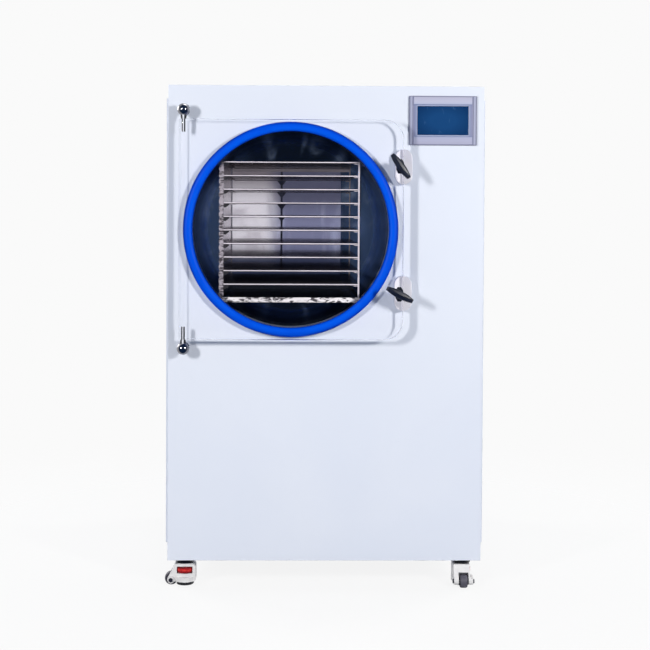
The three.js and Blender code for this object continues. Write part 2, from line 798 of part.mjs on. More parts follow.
function latchWasher() {
  const back = doorFront - latch.padThick - 2 * FIT;
  const ring = rod('y', latch.washerRadius, [back - latch.washerThick, back]);
  return cut(ring, bore('y', latch.studRadius, [back - 10, back + 5]));
}

// Bar handle with a slight swell in its middle, a boss behind it and the stud.
function clampKnob(tiltDegrees) {
  const { barLength, barWaist, barEnd, barThick, barBevel, bossLength, studRadius, studEnd } = latch;
  const bossBack = doorFront - latch.padThick - latch.washerThick - 3 * FIT;
  const barBack = bossBack - bossLength;
  const half = barLength / 2 - barBevel;
  const end = barEnd / 2 - barBevel;
  const swell = barWaist - barEnd / 2 - barBevel;
  const bar = new THREE.Shape();
  bar.moveTo(-half, -end);
  bar.quadraticCurveTo(0, -swell, half, -end);
  bar.lineTo(half, end);
  bar.quadraticCurveTo(0, swell, -half, end);
  const handle = new THREE.ExtrudeGeometry(bar, {
    depth: barThick - 2 * barBevel,
    bevelThickness: barBevel,
    bevelSize: barBevel,
    bevelSegments: 1,
    curveSegments: 6,
  });
  handle.rotateX(Math.PI / 2).translate(0, barBack - barBevel, 0);
  const boss = rod('y', latch.bossRadius, [barBack - barBevel, bossBack]);
  const stud = rod('y', studRadius, [barBack - barBevel, -studEnd]);
  return join(handle, boss, stud).rotateY(THREE.MathUtils.degToRad(-tiltDegrees));
}

for (const [place, side] of [['upper', 1], ['lower', -1]]) {
  const clamp = new THREE.Group();
  clamp.position.set(latchX, 0, chamberZ + side * latch.spacing);
  add(`${place}_latch_block`, latchBlock(), whitePlastic, clamp);
  add(`${place}_clamp_pad`, latchPad(), blackPlastic, clamp);
  add(`${place}_clamp_washer`, latchWasher(), chrome, clamp);
  add(`${place}_clamp_knob`, clampKnob(latch.tilt[place]), blackPlastic, clamp);
  freezeDryer.add(clamp);
}

// ---- Touch screen -------------------------------------------------------------------------------

// Bezel with a rail at each side and a band above and below the display, in front of a housing that
// passes through the front panel.
function screenFrame() {
  const { width, height, proud, railWidth, bandHeight, groove } = screen;
  const half = [width / 2, height / 2];
  const back = -FIT;
  const front = back - proud;
  const low = front + groove;
  const plate = block([-half[0], half[0]], [low, back], [-half[1], half[1]]);
  const rails = [-1, 1].map((side) => {
    const centre = side * (half[0] - railWidth / 2);
    return block([centre - railWidth / 2, centre + railWidth / 2], [front, low + 1], [-half[1], half[1]]);
  });
  const bandHalf = half[0] - railWidth - groove;
  const bands = [-1, 1].map((side) => {
    const centre = side * (half[1] - bandHeight / 2);
    return block([-bandHalf, bandHalf], [front, low + 1], [centre - bandHeight / 2, centre + bandHeight / 2]);
  });
  const bodyHalf = [screen.bodyWidth / 2, screen.bodyHeight / 2];
  const body = block([-bodyHalf[0], bodyHalf[0]], [back - 1, screen.bodyDepth], [-bodyHalf[1], bodyHalf[1]]);
  const recess = displaySlab(front - 1, back, 0);
  return cut(join(plate, ...rails, ...bands, body), recess);
}

function displaySlab(front, back, gap) {
  const half = [screen.displayWidth / 2 - gap, screen.displayHeight / 2 - gap];
  return block([-half[0], half[0]], [front, back], [-half[1], half[1]]);
}

const display = displaySlab(-FIT - screen.proud + 2 * screen.groove, -2 * FIT, FIT);
add('screen_frame', screenFrame(), greyPlastic).position.set(screenX, 0, screenZ);
add('screen_display', display, glassScreen).position.set(screenX, 0, screenZ);

// ---- Levelling casters --------------------------------------------------------------------------

// Drawn about the swivel axis, with the wheel trailing towards +X.
function casterPlate() {
  const half = caster.plate / 2;
  const corner = { left: caster.plateCorner, right: caster.plateCorner };
  const shape = roundedRectangle([-half, half], [-half, half], corner);
  const plate = new THREE.ExtrudeGeometry(shape, { depth: caster.plateThick, bevelEnabled: false, curveSegments: 3 });
  plate.translate(0, 0, plateBottomZ);
  const raceEnd = plateTopZ - 1;
  const race = revolve(
    [[0, raceBottomZ], [caster.raceBottom, raceBottomZ], [caster.raceTop, raceEnd], [0, raceEnd]],
    ROUND,
  );
  const kingpin = rod('z', caster.kingpin, [thumbRoofZ + FIT, raceEnd]);
  return join(plate, race, kingpin);
}

// Side outline of the housing: upright behind the swivel axis, and sloping down to the axle in front.
function yokeOutline() {
  const { backReach, trail, bossRadius, chamfer } = caster;
  const [slopeRun, slopeDrop] = caster.shoulder;
  const front = arcPoints([trail, axleZ], [bossRadius, bossRadius], -Math.PI / 2, Math.PI / 9, 4);
  return outlineShape([
    [chamfer - backReach, yokeFloorZ],
    [trail - bossRadius, yokeFloorZ],
    ...front,
    [backReach - chamfer, yokeTopZ],
    [slopeRun - backReach, yokeTopZ],
    [-backReach, yokeTopZ - slopeDrop],
    [-backReach, yokeFloorZ + chamfer],
  ]);
}

// The wheel's space follows its tread. The thumb wheel's space is round inside, and opens as a wide
// window at one side.
function yoke() {
  const { windowSide, windowHalf, wheelGap, trail, skirtRadius, skirtHeight, thumbRadius, thumbGap } = caster;
  const walls = upright(yokeOutline(), [-caster.closedSide, windowSide]);
  const skirt = rod('z', skirtRadius, [yokeFloorZ, yokeFloorZ + skirtHeight], ROUND);
  const boss = rod('y', caster.bossRadius, [-caster.bossReach, caster.bossReach]).translate(trail, 0, axleZ);
  const slotHalf = caster.wheelWidth / 2 + wheelGap;
  const slotY = [-slotHalf, slotHalf];
  const wheelSlot = join(
    rod('y', wheelSpace, slotY, TREAD).translate(trail, 0, axleZ),
    block([trail, 2 * trail], slotY, [-1, axleZ + wheelSpace]),
    block([trail - wheelSpace, 2 * trail], slotY, [-1, axleZ]),
  );
  const cavity = rod('z', thumbRadius + thumbGap, [thumbFloorZ, thumbRoofZ], ROUND);
  const window = block([-windowHalf, windowHalf], [0, windowSide + 1], [thumbFloorZ, thumbRoofZ]);
  const stemBore = bore('z', caster.stemRadius, [yokeFloorZ - 1, thumbFloorZ + 1]);
  const pinBore = bore('z', caster.kingpin, [thumbRoofZ - 1, yokeTopZ + 1]);
  const body = cut(join(walls, skirt, boss), wheelSlot, cavity, window, stemBore, pinBore);
  const reach = caster.bossReach + caster.nutThick;
  const axle = rod('y', caster.axleRadius, [-caster.bossReach, caster.bossReach]);
  const nuts = [-1, 1].map((side) => {
    const span = side > 0 ? [caster.bossReach - 1, reach] : [-reach, 1 - caster.bossReach];
    return hexagon('y', caster.nutAcross, span).translate(trail, 0, axleZ);
  });
  return join(body, axle.translate(trail, 0, axleZ), ...nuts);
}

// Solid tyre with a crowned tread and a recessed hub, about its own axle.
function casterWheel() {
  const { wheelRadius, wheelWidth, axleRadius, hubDepth, treadEdge } = caster;
  const half = wheelWidth / 2;
  const hole = (axleRadius + FIT) / Math.cos(Math.PI / TREAD);
  const hub = wheelRadius / 2;
  const rim = wheelRadius - 1.6 * treadEdge;
  const halfOutline = [
    [wheelRadius, half / 2],
    [wheelRadius - treadEdge, half],
    [rim, half - hubDepth],
    [hub, half - hubDepth],
    [hub, half],
    [hole, half],
  ];
  const mirrored = halfOutline.map(([radius, height]) => [radius, -height]).reverse();
  return revolve([...mirrored, ...halfOutline], TREAD).rotateX(Math.PI / 2);
}

// Ridged nut that runs on the foot's threaded stem.
function thumbWheel() {
  const { ridges, thumbRadius, thumbHeight } = caster;
  const points = Array.from({ length: ridges * 2 }, (_, i) => {
    const radius = i % 2 === 0 ? thumbRadius : thumbRadius - 1.2;
    const angle = (Math.PI * i) / ridges;
    return [radius * Math.cos(angle), radius * Math.sin(angle)];
  });
  const disc = new THREE.ExtrudeGeometry(outlineShape(points), { depth: thumbHeight, bevelEnabled: false });
  return cut(disc, bore('z', caster.stemRadius, [-1, thumbHeight + 1]));
}

// Rubber pad hollowed beside the wheel, with the stem moulded in.
function levellingFoot() {
  const { footLift, footHeight, footRadius, footGap, trail, wheelRadius } = caster;
  const pad = revolve(
    [
      [0, footLift],
      [footRadius - 3, footLift],
      [footRadius, footLift + 4],
      [footRadius, footLift + footHeight],
      [0, footLift + footHeight],
    ],
    ROUND,
  );
  const hollow = rod('y', wheelRadius + footGap, [-footRadius - 1, footRadius + 1], TREAD);
  const stem = rod('z', caster.stemRadius, [footLift + footHeight - 1, thumbRoofZ - 4]);
  return join(cut(pad, hollow.translate(trail, 0, axleZ)), stem);
}

const casterX = halfCabinet - caster.insetX;
const casterPlaces = [
  { name: 'front_left', x: -casterX, y: caster.insetY, trail: 180 },
  { name: 'front_right', x: casterX, y: caster.insetY, trail: -90 },
  { name: 'rear_left', x: -casterX, y: cabinet.depth - caster.insetY, trail: 90 },
  { name: 'rear_right', x: casterX, y: cabinet.depth - caster.insetY, trail: 0 },
];

for (const { name, x, y, trail } of casterPlaces) {
  add(`${name}_caster_plate`, casterPlate(), blackPlastic).position.set(x, y, 0);
  const swivel = new THREE.Group();
  swivel.position.set(x, y, 0);
  swivel.rotation.z = THREE.MathUtils.degToRad(trail);
  add(`${name}_caster_yoke`, yoke(), whitePlastic, swivel);
  add(`${name}_caster_wheel`, casterWheel(), blackRubber, swivel).position.set(caster.trail, 0, axleZ);
  const thumb = add(`${name}_caster_thumbwheel`, thumbWheel(), redPlastic, swivel);
  thumb.position.z = thumbFloorZ + caster.thumbGap;
  add(`${name}_caster_foot`, levellingFoot(), blackRubber, swivel);
  freezeDryer.add(swivel);
}

// ---- Mains cable gland --------------------------------------------------------------------------

function cableGland() {
  const { nutAcross, proud, domeRadius, threadRadius } = gland;
  const outside = cabinet.depth + FIT;
  const nut = hexagon('y', nutAcross, [outside, outside + gland.nutThick]);
  const dome = revolve(
    [[0, 0], [domeRadius, 0], [domeRadius, proud / 2], [gland.mouthRadius, proud], [0, proud]],
    PIN,
  );
  dome.rotateX(-Math.PI / 2).translate(0, outside, 0);
  const inside = cabinet.depth - cabinet.sheet - FIT;
  const threadEnd = inside - gland.threadLength;
  const thread = rod('y', threadRadius, [threadEnd, outside + 1]);
  const lockNut = hexagon('y', nutAcross, [inside - gland.lockNutThick, inside]);
  const opening = rod('y', gland.bore, [threadEnd - 1, outside + proud + 1]);
  return cut(join(nut, dome, thread, lockNut), opening).translate(glandX, 0, glandZ);
}

add('cable_gland', cableGland(), blackPlastic);

// ---- Centre the model over the floor ------------------------------------------------------------

freezeDryer.updateMatrixWorld(true);
const bounds = new THREE.Box3().setFromObject(freezeDryer, true);
const centre = bounds.getCenter(new THREE.Vector3());
freezeDryer.position.set(-centre.x, -centre.y, -bounds.min.z);

export default freezeDryer;
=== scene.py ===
"""Freeze dryer: a white sheet-metal cabinet on four levelling casters, with a round steel chamber
behind a clear hinged door, ten shelves in a rack, two door clamps and a touch screen."""

import json
import math

import bmesh
import bpy
import numpy as np
from mathutils import Matrix, Vector


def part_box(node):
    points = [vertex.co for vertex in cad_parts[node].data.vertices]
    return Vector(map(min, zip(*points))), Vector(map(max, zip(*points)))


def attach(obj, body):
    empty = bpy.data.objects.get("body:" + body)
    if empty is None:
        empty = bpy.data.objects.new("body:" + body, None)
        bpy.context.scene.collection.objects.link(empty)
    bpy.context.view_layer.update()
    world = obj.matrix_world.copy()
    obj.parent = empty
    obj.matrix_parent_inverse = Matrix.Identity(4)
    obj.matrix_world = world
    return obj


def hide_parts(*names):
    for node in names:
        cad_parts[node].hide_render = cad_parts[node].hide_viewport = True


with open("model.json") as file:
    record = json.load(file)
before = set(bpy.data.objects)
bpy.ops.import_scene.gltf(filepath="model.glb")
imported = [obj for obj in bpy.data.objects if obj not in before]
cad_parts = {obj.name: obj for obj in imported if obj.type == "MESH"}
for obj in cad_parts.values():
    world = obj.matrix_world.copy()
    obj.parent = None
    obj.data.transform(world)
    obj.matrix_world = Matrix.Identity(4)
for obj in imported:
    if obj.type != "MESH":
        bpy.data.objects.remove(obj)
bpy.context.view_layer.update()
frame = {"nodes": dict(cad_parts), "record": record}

# ---- Camera ---------------------------------------------------------------------------------
# A long lens stands in front of the chamber, a little above its axis and left of the cabinet's
# middle. It looks slightly down and to the right, and is tilted a third of a degree.

CAMERA_PLACE = (-0.110, -4.564, 1.158)
CAMERA_RIGHT = math.radians(1.09)
CAMERA_DOWN = 1.5
CAMERA_TILT = math.radians(0.30)


def add_object(name, data):
    """A new object in the scene, made of the data given."""
    thing = bpy.data.objects.new(name, data)
    bpy.context.scene.collection.objects.link(thing)
    return thing


camera_data = bpy.data.cameras.new("camera")
camera_data.lens = 75.40
camera_data.shift_x = 0.0149
camera_data.shift_y = -0.127
camera = add_object("camera", camera_data)
camera.matrix_world = (
    Matrix.Translation(CAMERA_PLACE)
    @ Matrix.Rotation(-CAMERA_RIGHT, 4, "Z")
    @ Matrix.Rotation(math.radians(90 - CAMERA_DOWN), 4, "X")
    @ Matrix.Rotation(CAMERA_TILT, 4, "Z")
)
bpy.context.scene.camera = camera

# ---- Studio ---------------------------------------------------------------------------------
# Two small softboxes stand left and right of the camera in a dark room, which only mirrors show,
# two large ones stand behind the cabinet and one hangs above it. A narrow spot lights the
# chamber. The floor is a pale disc that fades into the backdrop and keeps soft shadows.

bpy.context.scene.view_settings.view_transform = "Standard"

BACKDROP = (0.956, 0.956, 0.956, 1.0)
AMBIENT = 0.17
AMBIENT_TINT = (0.50, 0.70, 1.0, 1.0)
LAMP_TINT = (1.0, 0.975, 0.945)
FRONT_SIZE = (0.32, 0.6)
FRONT_AIM = (0.0, -0.46, 1.05)
REAR_SIZE = (1.4, 1.4)
REAR_AIM = (0.0, 0.3, 0.8)
REAR_POWER = 62.0
TOP_SIZE = (0.9, 0.9)
TOP_AIM = (0.0, 0.051, 1.5)
SOFTBOXES = (
    ("softbox_1", (-2.25, -3.35, 1.75), FRONT_AIM, FRONT_SIZE, 71.0),
    ("softbox_2", (2.05, -3.35, 1.75), FRONT_AIM, FRONT_SIZE, 78.0),
    ("rear_softbox_1", (-2.8, 1.7, 2.1), REAR_AIM, REAR_SIZE, REAR_POWER),
    ("rear_softbox_2", (2.8, 1.7, 2.1), REAR_AIM, REAR_SIZE, REAR_POWER),
    ("top_softbox", (0.0, 0.05, 2.9), TOP_AIM, TOP_SIZE, 13.0),
)
SNOOT_PLACE = (-0.13, -4.5, 1.15)
SNOOT_AIM = (-0.106, -0.478, 1.089)
SNOOT_HALF_ANGLE = math.radians(4.05)
SNOOT_POWER = 740.0
ROOM_RADIUS = 7.0
ROOM_HALF_ANGLE = math.radians(78)
FLOOR_RADIUS = 3.0
FLOOR_FADE = (0.9, 2.4)
FLOOR_LIFT = 0.874
FLOOR_BOUNCE = (0.55, 0.55, 0.55, 1.0)
FLOOR_SEEN = (0.10, 0.10, 0.10, 1.0)


def srgb(red, green, blue):
    """Linear RGBA of a colour given as three numbers from 0 to 255."""
    shares = np.array([red, green, blue]) / 255.0
    linear = np.where(shares <= 0.04045, shares / 12.92, ((shares + 0.055) / 1.055) ** 2.4)
    return (*linear.tolist(), 1.0)


def place(tree, kind, sockets=None, **options):
    """Adds a node, sets its options, gives each named socket a value or another output, and
    returns its outputs."""
    node = tree.nodes.new(kind)
    for option, value in options.items():
        setattr(node, option, value)
    for name, value in (sockets or {}).items():
        if isinstance(value, bpy.types.NodeSocket):
            tree.links.new(value, node.inputs[name])
        else:
            node.inputs[name].default_value = value
    return node.outputs


def calc(operation, *values, **options):
    """Result of a calculation on one, two or three numbers, in the tree of those that are
    outputs."""
    tree = next(value.id_data for value in values if isinstance(value, bpy.types.NodeSocket))
    return place(tree, "ShaderNodeMath", dict(enumerate(values)), operation=operation, **options)[0]


def step_up(value, start, end, kind="SMOOTHSTEP"):
    """Number that goes from 0 to 1 as the value, an output, goes from the start to the end."""
    limits = {"Value": value, "From Min": start, "From Max": end}
    return place(value.id_data, "ShaderNodeMapRange", limits, interpolation_type=kind)[0]


def blend(share, first, second):
    """Colour that goes from the first to the second as the share, an output, goes up to 1."""
    ends = {0: share, 6: first, 7: second}
    return place(share.id_data, "ShaderNodeMix", ends, data_type="RGBA")[2]


def aimed(position, aim):
    """Where a lamp stands so that it faces the point aimed at."""
    turn = (Vector(aim) - Vector(position)).to_track_quat("-Z", "Y").to_matrix().to_4x4()
    return Matrix.Translation(position) @ turn


def softbox(name, position, aim, size, power):
    """A rectangular lamp that faces the point aimed at."""
    lamp = bpy.data.lights.new(name, "AREA")
    lamp.shape = "RECTANGLE"
    lamp.size, lamp.size_y = size
    lamp.energy = power
    lamp.color = LAMP_TINT
    holder = add_object(name, lamp)
    holder.matrix_world = aimed(position, aim)
    holder.visible_camera = False


for box in SOFTBOXES:
    softbox(*box)

snoot_data = bpy.data.lights.new("snoot", "SPOT")
snoot_data.energy = SNOOT_POWER
snoot_data.spot_size = 2 * SNOOT_HALF_ANGLE
snoot_data.spot_blend = 0.05
snoot_data.shadow_soft_size = 0.0
snoot = add_object("snoot", snoot_data)
snoot.matrix_world = aimed(SNOOT_PLACE, SNOOT_AIM)
snoot.visible_glossy = False

world = bpy.data.worlds.new("backdrop")
world.use_nodes = True
bpy.context.scene.world = world
sky = world.node_tree
sky.nodes.clear()
path = place(sky, "ShaderNodeLightPath")
seen = calc("MAXIMUM", path["Is Camera Ray"], path["Is Glossy Ray"])
seen = calc("MAXIMUM", seen, path["Is Transmission Ray"])
ambient = place(sky, "ShaderNodeBackground", {"Color": AMBIENT_TINT, "Strength": AMBIENT})
bright = place(sky, "ShaderNodeBackground", {"Color": BACKDROP, "Strength": 1.0})
mix = place(sky, "ShaderNodeMixShader", {0: seen, 1: ambient[0], 2: bright[0]})
place(sky, "ShaderNodeOutputWorld", {"Surface": mix[0]})


def blank_material(name):
    """A material with an empty node tree, and that tree."""
    material = bpy.data.materials.new(name)
    material.use_nodes = True
    material.node_tree.nodes.clear()
    return material, material.node_tree


def grid_faces(number):
    """Four-cornered faces between the neighbouring points of a grid of point numbers."""
    corners = [number[:-1, :-1], number[:-1, 1:], number[1:, 1:], number[1:, :-1]]
    return np.stack(corners, axis=-1).reshape(-1, 4)


def stage_sheet(name, points, material):
    """A stage piece whose faces join neighbouring points of a grid."""
    rows, columns = points.shape[:2]
    number = np.arange(rows * columns).reshape(rows, columns)
    mesh = bpy.data.meshes.new(name)
    mesh.from_pydata(points.reshape(-1, 3).tolist(), [], grid_faces(number).tolist())
    mesh.materials.append(material)
    sheet = add_object(name, mesh)
    return sheet


dark_wall, tree = blank_material("dark_wall")
glow = place(tree, "ShaderNodeEmission", {"Color": srgb(34, 62, 100), "Strength": 1.0})
place(tree, "ShaderNodeOutputMaterial", {"Surface": glow[0]})
turn, rise = np.meshgrid(
    np.linspace(-ROOM_HALF_ANGLE, ROOM_HALF_ANGLE, 48),
    np.linspace(-math.pi / 2, math.pi / 2, 32),
    indexing="ij",
)
room_points = ROOM_RADIUS * np.stack(
    [np.sin(turn) * np.cos(rise), -np.cos(turn) * np.cos(rise), np.sin(rise)], axis=-1
)
room = stage_sheet("dark_room", room_points, dark_wall)
room.visible_camera = False
room.visible_diffuse = False
room.visible_shadow = False

pale_floor, tree = blank_material("pale_floor")
seen = place(tree, "ShaderNodeLightPath")["Is Camera Ray"]
lift = calc("MULTIPLY", seen, FLOOR_LIFT)
shade = blend(seen, FLOOR_BOUNCE, FLOOR_SEEN)
paper = place(tree, "ShaderNodeBsdfDiffuse", {"Color": shade})
glow = place(tree, "ShaderNodeEmission", {"Color": (1.0, 1.0, 1.0, 1.0), "Strength": lift})
lit = place(tree, "ShaderNodeAddShader", {0: paper[0], 1: glow[0]})
where = place(tree, "ShaderNodeTexCoord")["Object"]
reach = place(tree, "ShaderNodeVectorMath", {0: where}, operation="LENGTH")["Value"]
fade = step_up(reach, *FLOOR_FADE)
clear = place(tree, "ShaderNodeBsdfTransparent")
mix = place(tree, "ShaderNodeMixShader", {0: fade, 1: lit[0], 2: clear[0]})
place(tree, "ShaderNodeOutputMaterial", {"Surface": mix[0]})
turn, reach = np.meshgrid(
    np.linspace(0, 2 * math.pi, 65), np.array([0.0, FLOOR_RADIUS]), indexing="ij"
)
floor_points = np.stack([reach * np.cos(turn), reach * np.sin(turn), 0 * turn], axis=-1)
floor = stage_sheet("floor", floor_points, pale_floor)
floor.visible_glossy = False

# ---- Painted cabinet ------------------------------------------------------------------------
# Folded steel sheets in white powder coat: a front panel, a wrapped shell, two louvred side
# covers, a back and a base plate, all screwed to a welded tube frame.

PAINT = srgb(232, 237, 248)
PAINT_SHADE = srgb(227, 233, 246)
PRIMER = srgb(150, 154, 160)
PRIMER_SHADE = srgb(138, 142, 150)
FOLD_ROUND = 0.0012
BOX_PANELS = ("front_panel", "cabinet_shell")
PLAIN_PANELS = ("right_side_panel", "left_side_panel", "back_panel", "base_plate")

bodies = frame["record"]["behaviour"]["bodies"]
body_of = {node: body for body, members in bodies.items() for node in members}


def effect_group(name, values, outputs):
    """A new node group: its inputs with their values, by name, and its outputs with their kinds."""
    tree = bpy.data.node_groups.new(name, "ShaderNodeTree")
    for label, value in values.items():
        kind = "NodeSocketVector" if isinstance(value, tuple) else "NodeSocketFloat"
        socket = tree.interface.new_socket(label, in_out="INPUT", socket_type=kind)
        socket.default_value = value
    for label, kind in outputs.items():
        tree.interface.new_socket(label, in_out="OUTPUT", socket_type="NodeSocket" + kind)
    return tree, tree.nodes.new("NodeGroupInput").outputs, tree.nodes.new("NodeGroupOutput").inputs


def stretched_noise(tree, given, **sockets):
    """Noise on object coordinates that are stretched by the group's vector."""
    where = place(tree, "ShaderNodeTexCoord")["Object"]
    stretch = {0: where, 1: given["Stretch"]}
    sockets["Vector"] = place(tree, "ShaderNodeVectorMath", stretch, operation="MULTIPLY")[0]
    sockets["Scale"] = given["Scale"]
    return place(tree, "ShaderNodeTexNoise", sockets)[0]


def make_grain_group():
    """Fine even grain: noise, stretched by a vector, lifts the surface and varies a mask."""
    values = {"Scale": 400.0, "Stretch": (1.0, 1.0, 1.0), "Depth": 0.1, "Reach": 0.0002}
    outputs = {"Mask": "Float", "Normal": "Vector"}
    tree, given, result = effect_group("fine_grain", values, outputs)
    noise = stretched_noise(tree, given, Detail=3.0, Roughness=0.55)
    lifted = {"Strength": given["Depth"], "Distance": given["Reach"], "Height": noise}
    tree.links.new(noise, result["Mask"])
    tree.links.new(place(tree, "ShaderNodeBump", lifted)[0], result["Normal"])
    return tree


def make_patch_group():
    """Broad soft patches: distorted noise, cut between two levels, gives a mask from 0 to 1."""
    values = {"Scale": 6.0, "Stretch": (1.0, 1.0, 1.0), "Low": 0.4, "High": 0.7, "Swirl": 0.5}
    tree, given, result = effect_group("soft_patches", values, {"Mask": "Float"})
    noise = stretched_noise(tree, given, Detail=4.0, Roughness=0.5, Distortion=given["Swirl"])
    tree.links.new(step_up(noise, given["Low"], given["High"]), result["Mask"])
    return tree


fine_grain = make_grain_group()
soft_patches = make_patch_group()


def grainy(tree, scale, depth, reach, stretch=(1.0, 1.0, 1.0)):
    """Mask and relief of a fine grain."""
    values = {"Scale": scale, "Depth": depth, "Reach": reach, "Stretch": stretch}
    return place(tree, "ShaderNodeGroup", values, node_tree=fine_grain)


def patchy(tree, **values):
    """Mask of soft patches."""
    return place(tree, "ShaderNodeGroup", values, node_tree=soft_patches)["Mask"]


def vary(share, low, high):
    """Number that goes from low to high as the share, an output, goes from 0 to 1."""
    ends = {"Value": share, "To Min": low, "To Max": high}
    return place(share.id_data, "ShaderNodeMapRange", ends)[0]


def surfaced(material, colour, roughness, relief=None, metal=0.0, specular=0.5):
    """The material with an opaque surface. A roughness given as a pair follows the relief."""
    tree = material.node_tree
    if isinstance(roughness, tuple):
        roughness = vary(relief["Mask"], *roughness)
    sockets = {"Base Color": colour, "Roughness": roughness, "Metallic": metal}
    sockets["Specular IOR Level"] = specular
    if relief is not None:
        sockets["Normal"] = relief["Normal"]
    surface = place(tree, "ShaderNodeBsdfPrincipled", sockets)
    place(tree, "ShaderNodeOutputMaterial", {"Surface": surface[0]})
    return material


def coated(name, colour, shade, roughness, grain, metal=0.0, **patches):
    """Opaque finish of two near colours in soft patches, with a grain (scale, depth, reach) in
    its relief and gloss."""
    material, tree = blank_material(name)
    blended = blend(patchy(tree, **patches), colour, shade)
    return surfaced(material, blended, roughness, grainy(tree, *grain), metal)


def fit(piece, node):
    """The piece stands for a solid and moves with its body, and the solid is hidden."""
    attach(piece, body_of[node])
    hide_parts(node)


def finish_node(node, material):
    """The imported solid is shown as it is, in the material."""
    for slot in frame["nodes"][node].material_slots:
        slot.material = material


def cleaned(mesh, material, smooth, clean):
    """Runs the clean-up on the mesh, gives it the material, and keeps the edges sharp that turn
    by more than the angle in degrees."""
    work = bmesh.new()
    work.from_mesh(mesh)
    clean(work)
    work.to_mesh(mesh)
    work.free()
    mesh.materials.clear()
    mesh.materials.append(material)
    mesh.polygons.foreach_set("use_smooth", np.ones(len(mesh.polygons), bool))
    mesh.set_sharp_from_angle(angle=math.radians(smooth))


def eased_copy(node, material, width, smooth=32, holes=False):
    """Copy of a solid with its doubled points merged and its sharp edges rolled over. Level faces
    become one face each, unless they have holes."""
    name = node + "_eased"
    mesh = frame["nodes"][node].data.copy()
    mesh.name = name

    def clean(work):
        bmesh.ops.remove_doubles(work, verts=work.verts, dist=2e-6)
        if not holes:
            level = math.radians(0.3)
            bmesh.ops.dissolve_limit(work, angle_limit=level, verts=work.verts, edges=work.edges)

    cleaned(mesh, material, smooth, clean)
    piece = add_object(name, mesh)
    roll = piece.modifiers.new("rolled_edges", "BEVEL")
    roll.width = width
    roll.segments = 2
    roll.limit_method = "ANGLE"
    roll.angle_limit = math.radians(smooth)
    roll.harden_normals = True
    fit(piece, node)


broad = {"Scale": 1.7, "Low": 0.3, "High": 0.75}
fine = (260.0, 0.06, 0.0002)
powder_coat = coated("powder_coat", PAINT, PAINT_SHADE, (0.34, 0.46), fine, **broad)
fine = (300.0, 0.1, 0.0002)
primer = coated("grey_primer", PRIMER, PRIMER_SHADE, (0.45, 0.6), fine, Scale=5.0)
for panel in BOX_PANELS:
    eased_copy(panel, powder_coat, FOLD_ROUND, holes=True)
for panel in PLAIN_PANELS:
    finish_node(panel, powder_coat)
finish_node("cabinet_frame", primer)

# ---- Vacuum chamber -------------------------------------------------------------------------
# Polished stainless cylinder with a dished head, lying front to back, and a nozzle with a clamp
# flange on the head. The bore is a dark mirror, tinted navy as painted reflection, with a bright
# band inside the mouth and a painted highlight on its lower lip.

CHAMBER_WALL = 0.006
CHAMBER_STRAIGHT = 0.714
HEAD_DEPTH = 0.090
NOZZLE_REACH = 0.05
NOZZLE_BORE = 0.020
NOZZLE_TUBE = 0.023
FLANGE_RADIUS = 0.0275
FLANGE_THICK = 0.008
FLANGE_EASE = 0.001
FLANGE_NECK = 0.002
RIM_EASE = 0.0012
CHAMBER_TURNS = 160
BRIGHT_BAND_PLACE = (0.150, 0.215)
BRIGHT_BAND_FADE = 0.8
# Painted highlight on the lower lip inside the mouth: its depth band, and how far below the axis it
# starts.
LIT_LIP_BAND = (0.045, 0.052)
LIT_LIP_DROP = (0.17, 0.25)
SCUFFED_SIDE = (0.12, 0.27)
LEAST_DULL = 0.02
SIDE_DULL = 0.12
WISP_DULL = 0.11


def corners_of(node):
    """Lowest and highest corners of a solid, as arrays."""
    low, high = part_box(node)
    return np.array(low), np.array(high)


def eased(outline, reach, steps=5):
    """Closed outline with round corners: a parabola runs from the point a reach before each
    corner to the point a reach after it, and bends towards the corner."""
    outline = np.asarray(outline, float)
    reach = np.broadcast_to(np.asarray(reach, float), len(outline))[:, None]
    before = np.roll(outline, 1, axis=0) - outline
    after = np.roll(outline, -1, axis=0) - outline
    start = outline + before / np.linalg.norm(before, axis=1, keepdims=True) * reach
    end = outline + after / np.linalg.norm(after, axis=1, keepdims=True) * reach
    t = np.linspace(0, 1, steps + 1)[None, :, None]
    bend = (1 - t) ** 2 * start[:, None] + 2 * t * (1 - t) * outline[:, None] + t**2 * end[:, None]
    return bend.reshape(-1, 2)


def arc(centre, radii, start, end, steps):
    """Points on an ellipse about the centre, from the start angle to the end angle in degrees."""
    angle = np.radians(np.linspace(start, end, steps + 1))
    across, up = radii[0] * np.cos(angle), radii[1] * np.sin(angle)
    return np.stack([centre[0] + across, centre[1] + up], axis=1)


def lathed(profile, turns, phase=0.0):
    """Points (radius, height) of a closed profile carried round the local Z axis."""
    profile = np.asarray(profile, float)
    angle = phase + np.linspace(0, 2 * math.pi, turns, endpoint=False)
    radius = profile[:, 0][:, None]
    height = np.broadcast_to(profile[:, 1][:, None], (len(profile), turns))
    return np.stack([radius * np.cos(angle), radius * np.sin(angle), height], axis=-1)


def along_y(points, origin=(0.0, 0.0, 0.0)):
    """Turns the local Z axis to run front to back, and moves the points to the origin given."""
    x, y, z = points[..., 0], points[..., 1], points[..., 2]
    return np.stack([x, z, y], axis=-1) + np.asarray(origin, float)


